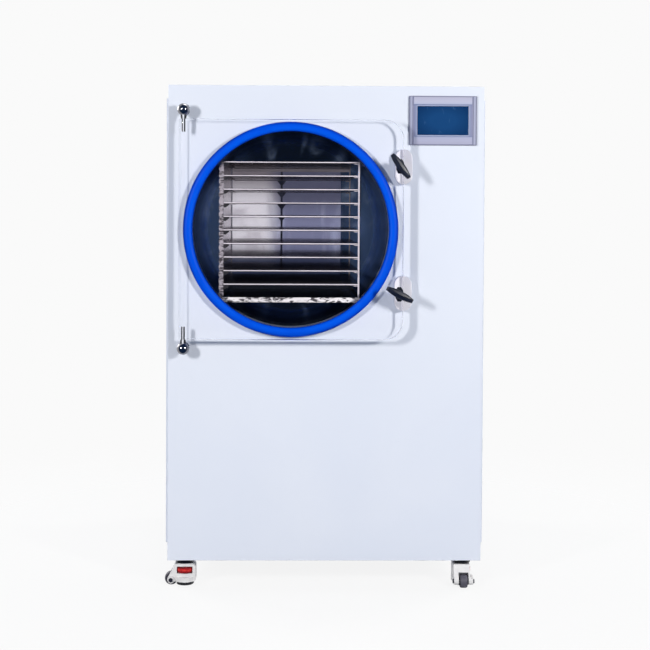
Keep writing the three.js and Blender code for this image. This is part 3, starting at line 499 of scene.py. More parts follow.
def build_piece(name, shells, material, smooth=32):
    """Object from closed grids of points: each grid's rows and columns both close on themselves.
    Points that fall together at a pole are merged, and every shell faces outwards."""
    points, faces, start = [], [], 0
    for grid in shells:
        rows, columns = grid.shape[:2]
        number = np.arange(rows * columns).reshape(rows, columns)
        quads = grid_faces(np.pad(number, ((0, 1), (0, 1)), mode="wrap"))
        flat = grid.reshape(-1, 3)
        a, b, c, d = (flat[quads[:, corner]] for corner in range(4))
        volume = (a * (np.cross(b, c) + np.cross(c, d))).sum()
        points.append(flat)
        faces.append((quads if volume > 0 else quads[:, ::-1]) + start)
        start += len(flat)
    mesh = bpy.data.meshes.new(name)
    mesh.from_pydata(np.concatenate(points).tolist(), [], np.concatenate(faces).tolist())

    def clean(work):
        bmesh.ops.remove_doubles(work, verts=work.verts, dist=1e-6)
        bmesh.ops.dissolve_degenerate(work, dist=1e-7, edges=work.edges)

    cleaned(mesh, material, smooth, clean)
    piece = add_object(name, mesh)
    even = piece.modifiers.new("flat_faces_first", "WEIGHTED_NORMAL")
    even.keep_sharp = True
    return piece


def object_xyz(tree):
    """X, Y and Z of each point, in object coordinates."""
    where = place(tree, "ShaderNodeTexCoord")["Object"]
    return place(tree, "ShaderNodeSeparateXYZ", {0: where})


def distance_from(value, middle):
    """How far the value lies from the middle, on either side."""
    return calc("ABSOLUTE", calc("SUBTRACT", value, middle))


def mix_numbers(share, first, second):
    """Number that goes from the first to the second, either of which may be an output."""
    ends = {0: share, 2: first, 3: second}
    return place(share.id_data, "ShaderNodeMix", ends, data_type="FLOAT")[0]


def mirror_steel(name, mouth, tail, middle_x, middle_z):
    """Dark mirror finish: steel tinted navy-grey as a painted reflection of the dark room, with
    pale wisps, duller at the sides, and a bright band that starts a set depth behind the mouth. The
    lower lip near the mouth gets a painted highlight, as if lit from above, and the outside is a
    plain light grey from the tail on."""
    material, tree = blank_material(name)
    wisps = patchy(tree, Scale=7.0, Stretch=(1.0, 0.35, 1.0), Low=0.50, High=0.74, Swirl=1.6)
    relief = grainy(tree, 60.0, 0.08, 0.0005, (1.0, 6.0, 1.0))
    where = object_xyz(tree)
    depth = calc("SUBTRACT", where["Y"], mouth)
    half = (BRIGHT_BAND_PLACE[1] - BRIGHT_BAND_PLACE[0]) / 2
    away = distance_from(depth, sum(BRIGHT_BAND_PLACE) / 2)
    bright_band = step_up(away, half, half * BRIGHT_BAND_FADE)
    # Painted highlight: the lower lip just inside the mouth is coloured bright, as if lit from
    # above.
    lip = step_up(depth, LIT_LIP_BAND[1], LIT_LIP_BAND[0])
    low = step_up(where["Z"], middle_z - LIT_LIP_DROP[0], middle_z - LIT_LIP_DROP[1])
    band = calc("MAXIMUM", bright_band, calc("MULTIPLY", lip, low))
    scuffed = step_up(distance_from(where["X"], middle_x), *SCUFFED_SIDE)
    outside = calc("GREATER_THAN", where["Y"], tail)
    # The steel is tinted navy, a painted reflection of the dark room it mirrors.
    steel = blend(wisps, srgb(132, 166, 222), srgb(190, 212, 250))
    steel = blend(outside, steel, srgb(206, 207, 210))
    steel = blend(band, steel, srgb(196, 208, 236))
    dull = calc("MULTIPLY_ADD", scuffed, SIDE_DULL, LEAST_DULL)
    dull = calc("MULTIPLY_ADD", wisps, WISP_DULL, dull)
    metal = mix_numbers(band, calc("SUBTRACT", 1.0, dull), 0.3)
    return surfaced(material, steel, vary(band, 0.22, 0.5), relief, metal)


chamber_low, chamber_high = corners_of("vacuum_chamber")
chamber_x, chamber_z = ((chamber_low + chamber_high) / 2)[[0, 2]]
chamber_outer = (chamber_high[0] - chamber_low[0]) / 2
chamber_bore = chamber_outer - CHAMBER_WALL
chamber_mouth, chamber_end = chamber_low[1], chamber_high[1]
chamber_axis = (chamber_x, 0.0, chamber_z)
nozzle_start = chamber_end - NOZZLE_REACH
head_start = chamber_mouth + CHAMBER_STRAIGHT
bore_end = math.degrees(math.acos(NOZZLE_BORE / chamber_bore))
tube_start = math.degrees(math.acos(NOZZLE_TUBE / chamber_outer))
rim_round = (RIM_EASE, RIM_EASE)
rim_back = chamber_mouth + RIM_EASE
chamber_profile = np.concatenate(
    [
        arc((chamber_bore + RIM_EASE, rim_back), rim_round, -90, -180, 4),
        arc((0.0, head_start), (chamber_bore, HEAD_DEPTH), 0, bore_end, 24),
        [
            (NOZZLE_BORE, chamber_end),
            (FLANGE_RADIUS - FLANGE_EASE, chamber_end),
            (FLANGE_RADIUS, chamber_end - FLANGE_EASE),
            (FLANGE_RADIUS, chamber_end - FLANGE_THICK + FLANGE_NECK),
            (NOZZLE_TUBE, chamber_end - FLANGE_THICK),
        ],
        arc((0.0, head_start), (chamber_outer, HEAD_DEPTH + CHAMBER_WALL), tube_start, 0, 24),
        arc((chamber_outer - RIM_EASE, rim_back), rim_round, 0, -90, 4),
    ]
)
mirror = mirror_steel("mirror_steel", chamber_mouth, nozzle_start, chamber_x, chamber_z)
chamber_turned = along_y(lathed(chamber_profile, CHAMBER_TURNS), chamber_axis)
fit(build_piece("chamber_shell", [chamber_turned], mirror), "vacuum_chamber")

# ---- Door seal and trim ring ----------------------------------------------------------------
# A blue silicone ring grips the chamber's rim and carries a round bead that the door presses on.
# A thin white ring on the front panel hides the gap round the chamber.

# Blue of the seal, with painted shade at its outer edge and a painted highlight on its bead's
# crown.
SEAL_LIGHT_AND_SHADE = (
    (0.0, 0, 48, 150),
    (0.003, 0, 62, 190),
    (0.010, 0, 84, 228),
    (0.019, 0, 92, 234),
    (0.026, 0, 84, 226),
    (0.032, 0, 66, 206),
)
SEAL_LIP = 0.013
SEAL_BEAD = 0.009
SEAL_EASE = 0.001
SEAL_TURNS = 192
GROOVE_WALL = 0.0015
RIM_GAP = 0.0003
TRIM_GAP = 0.0023
TRIM_EASE = 0.0008


def from_axis(tree, axis, across):
    """Distance of each point from an axis. Across is 0 along the axis and 1 the two other ways."""
    where = place(tree, "ShaderNodeTexCoord")["Object"]
    level = place(tree, "ShaderNodeVectorMath", {0: where, 1: across}, operation="MULTIPLY")[0]
    ends = {0: level, 1: np.multiply(axis, across)}
    return place(tree, "ShaderNodeVectorMath", ends, operation="DISTANCE")["Value"]


def ramp(value, reach, stops):
    """Colour that passes through the stops (distance, red, green, blue) as the value goes from 0
    to the reach."""
    share = step_up(value, 0.0, reach, "LINEAR")
    shades = place(value.id_data, "ShaderNodeValToRGB", {"Fac": share})["Color"]
    band = shades.node.color_ramp.elements
    while len(band) < len(stops):
        band.new(1.0)
    for element, (distance, *colour) in zip(band, stops):
        element.position = distance / reach
        element.color = srgb(*colour)
    return shades


def moulded_ring(name, centre, inner, outer):
    """Blue silicone with painted shade at the ring's outer edge and a painted highlight on the
    crown of its bead.
    """
    material, tree = blank_material(name)
    out = calc("SUBTRACT", outer, from_axis(tree, centre, (1.0, 0.0, 1.0)))
    shaded = ramp(out, outer - inner, SEAL_LIGHT_AND_SHADE)
    shaded = blend(patchy(tree, Scale=9.0), shaded, srgb(0, 80, 222))
    relief = grainy(tree, 150.0, 0.08, 0.0002)
    return surfaced(material, shaded, (0.32, 0.44), relief, specular=0.05)


seal_low, seal_high = corners_of("door_seal")
seal_outer = (seal_high[0] - seal_low[0]) / 2
seal_inner = chamber_bore - SEAL_LIP
seal_middle = (seal_inner + seal_outer) / 2
bead_round = (seal_outer - seal_middle, SEAL_BEAD)
groove_front = chamber_mouth - RIM_GAP
groove_inner = chamber_bore - GROOVE_WALL
seal_profile = np.concatenate(
    [
        arc((seal_middle, seal_low[1] + SEAL_BEAD), bead_round, 180, 360, 28),
        [
            (seal_outer, seal_high[1] - SEAL_EASE),
            (seal_outer - SEAL_EASE, seal_high[1]),
            (chamber_outer + RIM_GAP, seal_high[1]),
            (chamber_outer + RIM_GAP, groove_front),
            (groove_inner, groove_front),
            (groove_inner, seal_high[1]),
            (seal_inner + SEAL_EASE, seal_high[1]),
            (seal_inner, seal_high[1] - SEAL_EASE),
        ],
    ]
)
silicone = moulded_ring("blue_silicone", chamber_axis, seal_inner, seal_outer)
seal_turned = along_y(lathed(seal_profile, SEAL_TURNS), chamber_axis)
fit(build_piece("seal_ring", [seal_turned], silicone), "door_seal")

trim_low, trim_high = corners_of("mouth_trim_ring")
trim_outer = (trim_high[0] - trim_low[0]) / 2
trim_inner = chamber_outer + TRIM_GAP
trim_profile = eased(
    [
        (trim_inner, trim_high[1]),
        (trim_inner, trim_low[1]),
        (trim_outer, trim_low[1]),
        (trim_outer, trim_high[1]),
    ],
    TRIM_EASE,
)
trim_turned = along_y(lathed(trim_profile, SEAL_TURNS), chamber_axis)
fit(build_piece("trim_ring", [trim_turned], powder_coat), "mouth_trim_ring")

# ---- Rack, shelves and baffle ---------------------------------------------------------------
# Bright stainless sheet, folded and welded: a tray on the chamber's wall, four posts, a toothed
# left side, ten shelves with turned-down edges, and a baffle behind, wired with a dark harness.

SHEET_EASE = 0.0006
SHELVES = [f"shelf_{number:02d}" for number in range(1, 11)]
BLOT_AND_SHADE = srgb(46, 42, 46)
STREAK = 0.9
HOOK = (0.017, 0.011)
HOOK_THICK = 0.0015
HOOK_SEAT = 0.003
HOOK_ROUND = 0.0008
HOOK_EASE = 0.0003
SHELF_SHADE_BAND = 0.0020
SHELF_EDGE = 0.002
SHELF_MARGIN = 0.0002
EDGE_DEPTH = 0.003
EDGE_ROUGH = 0.62
BAFFLE_SEAM = 0.0012
BAFFLE_CORNER = 0.028
BAFFLE_EASE = 0.0005
# Painted light and shade on the baffle: the lit left half, darkening towards the top, and the
# shaded foot.
PAINTED_LIT_HALF = (-0.02, -0.10)
PALE_TOP_SHADE = (0.14, 0.01)
GREY_TOP_SHADE = (0.20, 0.09)
SHADED_FOOT = (0.25, 0.335)
HARNESS_EASE = 0.0008


def unit(vectors):
    """Each vector divided by its length."""
    return vectors / np.linalg.norm(vectors, axis=-1, keepdims=True)


def inward(outline):
    """Unit normals that point into a closed outline, at each of its points."""
    along = unit(np.roll(outline, -1, axis=0) - np.roll(outline, 1, axis=0))
    normal = np.stack([-along[:, 1], along[:, 0]], axis=1)
    area = np.cross(outline, np.roll(outline, -1, axis=0)).sum()
    return normal if area > 0 else -normal


def slab(outline, front, back, ease, crown=0.0, bore=None):
    """Plate of an outline (x, z), from its front y to its back y, with its edges eased by quarter
    rounds. Its faces close at the middle, or at a bore (radius, depth) sunk from the front."""
    outline = np.asarray(outline, float)
    ring = unit(outline)
    rows = [(ring * 0.0, front - crown)]
    if bore:
        radius, depth = bore
        rows = [(ring * 0.0, front + depth), (ring * radius, front + depth), (ring * radius, front)]
    drawn = inward(outline) * ease
    turns = np.radians(np.linspace(0, 90, 6))
    quarter = [(1 - math.sin(turn), 1 - math.cos(turn)) for turn in turns]
    rows += [(outline + drawn * aside, front + ease * down) for aside, down in quarter]
    rows += [(outline + drawn * down, back - ease * aside) for aside, down in quarter]
    rows.append((ring * 0.0, back))
    return np.stack(
        [np.stack([flat[:, 0], np.full(len(flat), y), flat[:, 1]], axis=1) for flat, y in rows]
    )


def bright_sheet(name, edge, inside, front, metal=0.9, gloss=(0.16, 0.3), blots=False, shelf=None):
    """Bright sheet: a ground front edge, down to the given depth, scatters light, and behind it
    the faces are brushed mirrors with streaks that run left to right. With blots, dark spots are
    painted on the sheet, partly marks and partly painted reflection of dark spots, and a shelf,
    given by its lower face and pitch, gets painted shade along the foot of its edge."""
    material, tree = blank_material(name)
    streaks = patchy(tree, Scale=30.0, Stretch=(0.3, 1.0, 4.0), Low=0.35, High=0.7)
    relief = grainy(tree, 420.0, 0.2, 0.0002, (0.06, 1.0, 1.0))
    where = object_xyz(tree)
    behind = calc("GREATER_THAN", where["Y"], front)

    def streaked(colour):
        """The colour, a little darker in the streaks."""
        dark = srgb(*(STREAK * part for part in colour))
        return blend(streaks, srgb(*colour), dark)

    ground = streaked(edge)
    # Dark blots: partly marks on the sheet, partly painted reflection of dark spots.
    if blots:
        dark = patchy(tree, Scale=70.0, Stretch=(0.5, 1.0, 1.5), Low=0.50, High=0.57, Swirl=2.0)
        ground = blend(dark, ground, BLOT_AND_SHADE)
    # Painted shade: the lowest strip of each shelf is coloured dark, as the shade under its edge.
    if shelf:
        up = calc("WRAP", calc("SUBTRACT", where["Z"], shelf[0]), shelf[1], 0.0)
        ground = blend(calc("LESS_THAN", up, SHELF_SHADE_BAND), ground, BLOT_AND_SHADE)
    colour = blend(behind, ground, streaked(inside))
    rough = mix_numbers(behind, EDGE_ROUGH, vary(relief["Mask"], *gloss))
    return surfaced(material, colour, rough, relief, vary(behind, 0.1, metal), 0.3)


def baffle_sheet(name, middle_x, top):
    """Satin sheet with painted light and shade: pale on its left half and grey on its right, with
    upright wisps, painted shade darkening both halves towards the top, and a foot painted dark as
    shade."""
    material, tree = blank_material(name)
    where = object_xyz(tree)

    def below_top(start, end):
        """Number that goes from 0 to 1 between two depths below the top edge."""
        return step_up(where["Z"], top - start, top - end)

    mottling = patchy(tree, Scale=8.0, Stretch=(1.0, 1.0, 0.7), Low=0.46, High=0.66, Swirl=1.0)
    pale = blend(mottling, srgb(238, 234, 242), srgb(206, 200, 210))
    pale = blend(below_top(*PALE_TOP_SHADE), pale, srgb(118, 110, 118))
    wisps = patchy(tree, Scale=14.0, Stretch=(1.0, 1.0, 0.3), Low=0.4, High=0.8, Swirl=0.8)
    grey = blend(wisps, srgb(130, 132, 164), srgb(184, 188, 218))
    grey = blend(below_top(*GREY_TOP_SHADE), grey, srgb(86, 87, 110))
    # Painted light: the left half is pale as if lit, the right half grey as if in shade.
    left = step_up(calc("SUBTRACT", where["X"], middle_x), *PAINTED_LIT_HALF)
    both = blend(left, grey, pale)
    both = blend(below_top(*SHADED_FOOT), both, srgb(50, 56, 82))
    relief = grainy(tree, 300.0, 0.2, 0.0002, (1.0, 1.0, 0.1))
    return surfaced(material, both, (0.35, 0.5), relief, 0.15)


rack_front = corners_of("rack_left_side")[0][1]
edge_end = rack_front + EDGE_DEPTH
# All these pieces are one stainless steel; their edge and face colours differ from piece to piece
# as painted light and shade, lighter where a piece is lit and darker where it is in shade or
# mirrors the dark.
side_steel = bright_sheet("side_steel", (128, 122, 128), (232, 226, 232), edge_end, blots=True)
post_steel = bright_sheet("post_steel", (160, 154, 160), (150, 146, 152), edge_end)
rear_steel = bright_sheet(
    "rear_steel", (150, 146, 152), (112, 106, 112), edge_end, metal=0.2, gloss=(0.4, 0.55)
)
tray_steel = bright_sheet("tray_steel", (188, 184, 184), (96, 98, 110), edge_end, blots=True)
lowest = corners_of("shelf_10")[0][2]
rows = (lowest - SHELF_MARGIN, corners_of("shelf_09")[0][2] - lowest)
edge_end += SHELF_EDGE
shelf_steel = bright_sheet("shelf_steel", (178, 172, 178), (150, 142, 150), edge_end, shelf=rows)
eased_copy("rack_tray", tray_steel, SHEET_EASE)
eased_copy("rack_left_side", side_steel, SHEET_EASE)
eased_copy("rack_front_post", post_steel, SHEET_EASE)
eased_copy("rack_rear_frame", rear_steel, SHEET_EASE)
for shelf in SHELVES:
    eased_copy(shelf, shelf_steel, SHEET_EASE)

hook_width, hook_height = HOOK
hook = eased(
    [
        (0.0, 0.0),
        (hook_width, 0.0),
        (hook_width, -hook_height * 0.3),
        (hook_width * 0.4, -hook_height),
        (0.0, -hook_height),
    ],
    HOOK_ROUND,
    3,
)
hook_middle = np.array([hook_width / 3, -hook_height / 3])
hooks = []
for shelf in SHELVES:
    shelf_low, _ = corners_of(shelf)
    plate = slab(hook - hook_middle, rack_front - HOOK_THICK, rack_front, HOOK_EASE)
    seat = (shelf_low[0] + HOOK_SEAT + hook_middle[0], 0.0, shelf_low[2] + hook_middle[1])
    hooks.append(plate + seat)
fine = (500.0, 0.2, 0.0002)
# The hooks are nearly black steel.
near_black_steel = coated(
    "near_black_steel", srgb(12, 10, 14), srgb(28, 24, 28), (0.35, 0.5), fine, Scale=120.0
)
shelf_hooks = build_piece("shelf_hooks", hooks, near_black_steel)
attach(shelf_hooks, body_of["rack_left_side"])

baffle_low, baffle_high = corners_of("rear_baffle")
baffle_left = corners_of("rack_left_side")[0][0] + BAFFLE_SEAM
baffle_middle = (baffle_high + (baffle_left, baffle_low[1], baffle_low[2])) / 2
reach_x, _, reach_z = baffle_high - baffle_middle
corner_x, corner_z = reach_x - BAFFLE_CORNER, reach_z - BAFFLE_CORNER
round_corner = (BAFFLE_CORNER, BAFFLE_CORNER)
baffle_outline = np.concatenate(
    [
        arc((-corner_x, -corner_z), round_corner, 180, 270, 10),
        arc((corner_x, -corner_z), round_corner, 270, 360, 10),
        arc((corner_x, corner_z), round_corner, 0, 90, 10),
        [(0.0, reach_z), (-reach_x, reach_z), (-reach_x, 0.0)],
    ]
)
sheet = slab(baffle_outline, baffle_low[1], baffle_high[1], BAFFLE_EASE)
sheet += (baffle_middle[0], 0.0, baffle_middle[2])
satin = baffle_sheet("baffle_sheet", (baffle_low[0] + baffle_high[0]) / 2, baffle_high[2])
fit(build_piece("baffle_sheet", [sheet], satin), "rear_baffle")

coarse = (500.0, 0.3, 0.0004)
wiring = coated(
    "dark_wiring", srgb(30, 32, 46), srgb(18, 18, 26), (0.4, 0.6), coarse, Scale=60.0
)
eased_copy("heater_harness", wiring, HARNESS_EASE)

# ---- Door -----------------------------------------------------------------------------------
# A thick clear acrylic plate with polished edges. Its left edge is turned round about the two
# hinge pins, its right corners are wide arcs, and light that meets its edges is lost.

DOOR_TINT = srgb(253, 254, 255)
# Painted shade: the polished edges are tinted grey-blue so that they show as dark lines.
PAINTED_EDGE_TINT = srgb(186, 194, 212)
DOOR_EASE = 0.0012
DOOR_CORNER = 0.055
EDGE_SHADE = (0.05, 0.06, 0.10, 1.0)
FACE_SHADE = (0.995, 0.995, 1.0, 1.0)
FACE_START = (0.42, 0.49)
REAR_START = (0.50, 0.60)
ROUND_EDGE_CLEAR = 0.92
FACE_CLEAR = 0.95


def clear_plate(name, low, high):
    """Clear polished plate. Lamps and soft light pass straight through its faces. Where they would
    enter by an edge only its rear part stops them, and where they would leave by the right, top
    or bottom edge all of it does, so the edges throw narrow shadows on what is behind."""
    material, tree = blank_material(name)
    where = object_xyz(tree)
    depth = step_up(where["Y"], low[1], high[1], "LINEAR")
    face = step_up(distance_from(depth, 0.5), *FACE_START, "LINEAR")
    rear = step_up(depth, *REAR_START, "LINEAR")
    flat = calc("GREATER_THAN", where["X"], low[0] + (high[1] - low[1]) / 2)
    leaving = calc("SUBTRACT", flat, place(tree, "ShaderNodeNewGeometry")["Backfacing"])
    stopped = calc("MAXIMUM", leaving, rear, use_clamp=True)
    clear = calc("MAXIMUM", face, calc("SUBTRACT", 1.0, stopped))
    glass = place(
        tree,
        "ShaderNodeBsdfPrincipled",
        {
            "Base Color": blend(face, PAINTED_EDGE_TINT, DOOR_TINT),
            "Roughness": vary(face, 0.35, 0.0),
            "IOR": 1.49,
            "Specular IOR Level": 0.12,
            "Transmission Weight": 1.0,
        },
    )
    path = place(tree, "ShaderNodeLightPath")
    passes = calc("MAXIMUM", path["Is Shadow Ray"], path["Is Diffuse Ray"])
    clear = calc("MAXIMUM", clear, calc("SUBTRACT", 1.0, passes))
    tint = blend(clear, EDGE_SHADE, FACE_SHADE)
    through = place(tree, "ShaderNodeBsdfTransparent", {"Color": tint})
    softened = calc("MULTIPLY", calc("SUBTRACT", 1.0, flat), ROUND_EDGE_CLEAR)
    softened = calc("MAXIMUM", softened, calc("MULTIPLY", face, FACE_CLEAR))
    passes = calc("MAXIMUM", passes, softened)
    mix = place(tree, "ShaderNodeMixShader", {0: passes, 1: glass[0], 2: through[0]})
    place(tree, "ShaderNodeOutputMaterial", {"Surface": mix[0]})
    return material


def door_points(low, high):
    """Level sections stacked up the door: each runs from the half-round hinge edge along the back
    to the right edge and along the front. Near the top and bottom the right edge follows the
    corner arc, and the last rows draw in by the eased edge."""
    thick = high[1] - low[1]
    middle_z = (low[2] + high[2]) / 2
    half_height = (high[2] - low[2]) / 2
    swing = np.radians(np.linspace(0, 90, 15))
    rise = half_height - DOOR_CORNER + DOOR_CORNER * np.sin(swing)
    inset = DOOR_CORNER * (1 - np.cos(swing))
    quarter = np.radians(np.linspace(0, 90, 5))
    last = half_height - DOOR_EASE * (1 - np.sin(quarter))
    rise = np.concatenate([[0.0], np.minimum(rise, half_height - DOOR_EASE), last])
    inset = np.concatenate([[0.0], inset, np.full(5, inset[-1])])
    draw = np.concatenate([np.zeros(16), DOOR_EASE * (1 - np.cos(quarter))])
    height = np.concatenate([middle_z - rise[::-1], middle_z + rise[1:]])
    inset = np.concatenate([inset[::-1], inset[1:]])[:, None]
    draw = np.concatenate([draw[::-1], draw[1:]])[:, None]
    centre = (low[0] + thick / 2, (low[1] + high[1]) / 2)
    round_edge = np.radians(np.linspace(90, 270, 21))
    left_x = centre[0] + (thick / 2 - draw) * np.cos(round_edge)
    left_y = centre[1] + (thick / 2 - draw) * np.sin(round_edge)
    right = high[0] - inset
    front_x = right - DOOR_EASE + (DOOR_EASE - draw) * np.sin(quarter)
    front_y = low[1] + DOOR_EASE - (DOOR_EASE - draw) * np.cos(quarter)
    back_x = right - DOOR_EASE + (DOOR_EASE - draw) * np.cos(quarter)
    back_y = high[1] - DOOR_EASE + (DOOR_EASE - draw) * np.sin(quarter)
    x = np.concatenate([left_x, front_x, back_x], axis=1)
    y = np.concatenate([left_y, front_y, back_y], axis=1)
    rows = np.stack([x, y, np.broadcast_to(height[:, None], x.shape)], axis=-1)
    ends = [np.broadcast_to(row.mean(axis=0), row.shape)[None] for row in (rows[0], rows[-1])]
    return np.concatenate([ends[0], rows, ends[1]])


door_low, door_high = corners_of("door_plate")
acrylic = clear_plate("clear_acrylic", door_low, door_high)
fit(build_piece("door_slab", [door_points(door_low, door_high)], acrylic), "door_plate")

# ---- Hinge balls ----------------------------------------------------------------------------
# Chromed steel: a ball on a stem bolted through the front panel, with a short collar and a pin
# that drops into the door's edge. The lower one is the upper one turned over.

CHROME = (0.80, 0.81, 0.84, 1.0)
CHROME_SHADE = (0.74, 0.75, 0.79, 1.0)
DARK_CHROME = (0.24, 0.24, 0.26, 1.0)
# Painted sheen on collar and pin: pale middle as a painted highlight, dark sides as painted shade,
# by how far the surface turns aside.
STEM_PAINTED_SHEEN = ((0.0, 232, 233, 238), (0.20, 220, 222, 228), (0.34, 34, 36, 46), (1.0, 16, 18, 26))
BALL_RADIUS = 0.0185
BALL_END = 0.86
BALL_LIFT = 0.028
COLLAR = (0.0088, 0.0078)
COLLAR_START = 0.72
COLLAR_EASE = 0.0006
COLLAR_FOOT = 0.0009
PIN_RADIUS = 0.0055
PIN_DEPTH = 0.038
PIN_EASE = 0.001
STEM_RADIUS = 0.008
STEM_EASE = 0.0008
STEM_BASE = (0.016, 0.004)
BASE_EASE = 0.0012
STUD_RADIUS = 0.006
HINGE_NUT = (0.022, 0.008)
SHEET = 0.002

chrome = coated(
    "bright_chrome", CHROME, CHROME_SHADE, (0.04, 0.09), (300.0, 0.02, 0.0001), 1.0, Scale=25.0
)


def hinge_steel(name, centre, side):
    """Dark chromed ball, and a ground collar and pin with a painted highlight along their middle
    and painted shade towards both sides."""
    material, tree = blank_material(name)
    up = calc("SUBTRACT", object_xyz(tree)["Z"], centre[2])
    stem = calc("GREATER_THAN", calc("MULTIPLY", up, -side), BALL_RADIUS * BALL_END)
    normal = place(tree, "ShaderNodeTexCoord")["Normal"]
    facing = place(tree, "ShaderNodeSeparateXYZ", {0: normal})
    # Painted highlight and shade across the collar and pin.
    ground = ramp(calc("ABSOLUTE", facing["X"]), 1.0, STEM_PAINTED_SHEEN)
    colour = blend(stem, DARK_CHROME, ground)
    rough = vary(stem, 0.16, 0.5)
    metal = vary(stem, 1.0, 0.25)
    return surfaced(material, colour, rough, grainy(tree, 300.0, 0.02, 0.0001), metal)


def hexagon(across, bottom, top, ease=0.0008):
    """Nut: a six-sided prism whose end corners are turned back."""
    corner = across / math.sqrt(3)
    profile = [
        (0.0, bottom),
        (corner - ease, bottom),
        (corner, bottom + ease),
        (corner, top - ease),
        (corner - ease, top),
        (0.0, top),
    ]
    return lathed(profile, 6)


def hinge_shells(side):
    """Ball, collar and pin turned about the upright axis, and the stem, its base, stud and nut
    about the level one. The side is 1 for the upper hinge and -1 for the lower."""
    low, high = corners_of("upper_hinge_ball" if side > 0 else "lower_hinge_ball")
    centre_z = high[2] - BALL_RADIUS if side > 0 else low[2] + BALL_RADIUS
    centre = np.array([(low[0] + high[0]) / 2, low[1] + BALL_RADIUS, centre_z])
    neck = math.degrees(math.asin(COLLAR[0] / BALL_RADIUS))
    pin_end = -BALL_LIFT - PIN_DEPTH
    upright = np.concatenate(
        [
            arc((0.0, 0.0), (BALL_RADIUS, BALL_RADIUS), 90, neck - 90, 40),
            [
                (COLLAR[0], -BALL_LIFT * COLLAR_START),
                (COLLAR[1], -BALL_LIFT + COLLAR_FOOT),
                (COLLAR[1] - COLLAR_EASE, -BALL_LIFT + RIM_GAP),
                (PIN_RADIUS, -BALL_LIFT + RIM_GAP),
                (PIN_RADIUS, pin_end + PIN_EASE),
                (PIN_RADIUS - PIN_EASE, pin_end),
                (0.0, pin_end),
            ],
        ]
    )
    ball = lathed(upright, 64)
    ball[..., 2] *= side
    panel = panel_front - centre[1]
    base_start = panel - RIM_GAP - STEM_BASE[1]
    stud_end = high[1] - centre[1]
    stem_profile = [
        (0.0, 0.0),
        (STEM_RADIUS, 0.0),
        (STEM_RADIUS, base_start - STEM_EASE),
        (STEM_BASE[0] - BASE_EASE, base_start),
        (STEM_BASE[0], base_start + BASE_EASE),
        (STEM_BASE[0], panel - RIM_GAP),
        (STUD_RADIUS, panel - RIM_GAP),
        (STUD_RADIUS, stud_end - STEM_EASE),
        (STUD_RADIUS - STEM_EASE, stud_end),
        (0.0, stud_end),
    ]
    nut_start = panel + SHEET + RIM_GAP
    nut = hexagon(HINGE_NUT[0], nut_start, nut_start + HINGE_NUT[1])
    return [ball + centre, along_y(lathed(stem_profile, 48), centre), along_y(nut, centre)], centre


panel_front = corners_of("front_panel")[0][1]
for name, side in (("upper", 1), ("lower", -1)):
    shells, centre = hinge_shells(side)
    finish = hinge_steel(f"{name}_hinge_steel", centre, side)
    fit(build_piece(f"{name}_ball_hinge", shells, finish), f"{name}_hinge_ball")

# ---- Door clamps ----------------------------------------------------------------------------
# At each clamp a white block with round ends stands on the panel, and a black pad, a chromed
# washer and a black bar handle with a stud hold the door to it.

BLOCK_EASE = 0.0015
BLOCK_BORE = (0.0065, 0.014)
PAD_EASE = 0.0022
PAD_BORE_DEPTH = 0.0065
PAD_EDGE = 0.001
WASHER_RADIUS = 0.011
WASHER_EASE = 0.0004
STUD = 0.005
STUD_GAP = 0.0003
STUD_EASE = 0.001
BAR_LENGTH = 0.087
BAR_WAIST = 0.0235
BAR_END = 0.0115
BAR_THICK = 0.014
BAR_EASE = 0.0052
BAR_CROWN = 0.0025
BAR_TILTS = {"upper": -54, "lower": -27}
BOSS = (0.010, 0.008)
BOSS_ROOT = 0.003
BOSS_EASE = 0.0008


def turned_about_y(points, degrees):
    """Points turned about the level axis, anticlockwise as seen from the front."""
    angle = math.radians(degrees)
    x, z = points[..., 0].copy(), points[..., 2].copy()
    turned = points.copy()
    turned[..., 0] = x * math.cos(angle) - z * math.sin(angle)
    turned[..., 2] = x * math.sin(angle) + z * math.cos(angle)
    return turned


black_plastic = coated(
    "black_plastic",
    srgb(20, 26, 46),
    srgb(11, 14, 27),
    (0.24, 0.42),
    (700.0, 0.2, 0.0003),
    Scale=60.0,
    Stretch=(1.0, 0.3, 1.0),
)


def faced_block(name, front):
    """White plastic with a level white face, and side walls behind it painted dark as shade."""
    material, tree = blank_material(name)
    # Painted shade on the side walls behind the face.
    shaded_wall = calc("GREATER_THAN", object_xyz(tree)["Y"], front + BLOCK_EASE)
    cloud = patchy(tree, Scale=12.0)
    white = blend(cloud, srgb(250, 247, 255), srgb(244, 242, 255))
    white = blend(shaded_wall, white, srgb(172, 176, 194))
    return surfaced(material, white, (0.35, 0.5), grainy(tree, 500.0, 0.08, 0.0002))


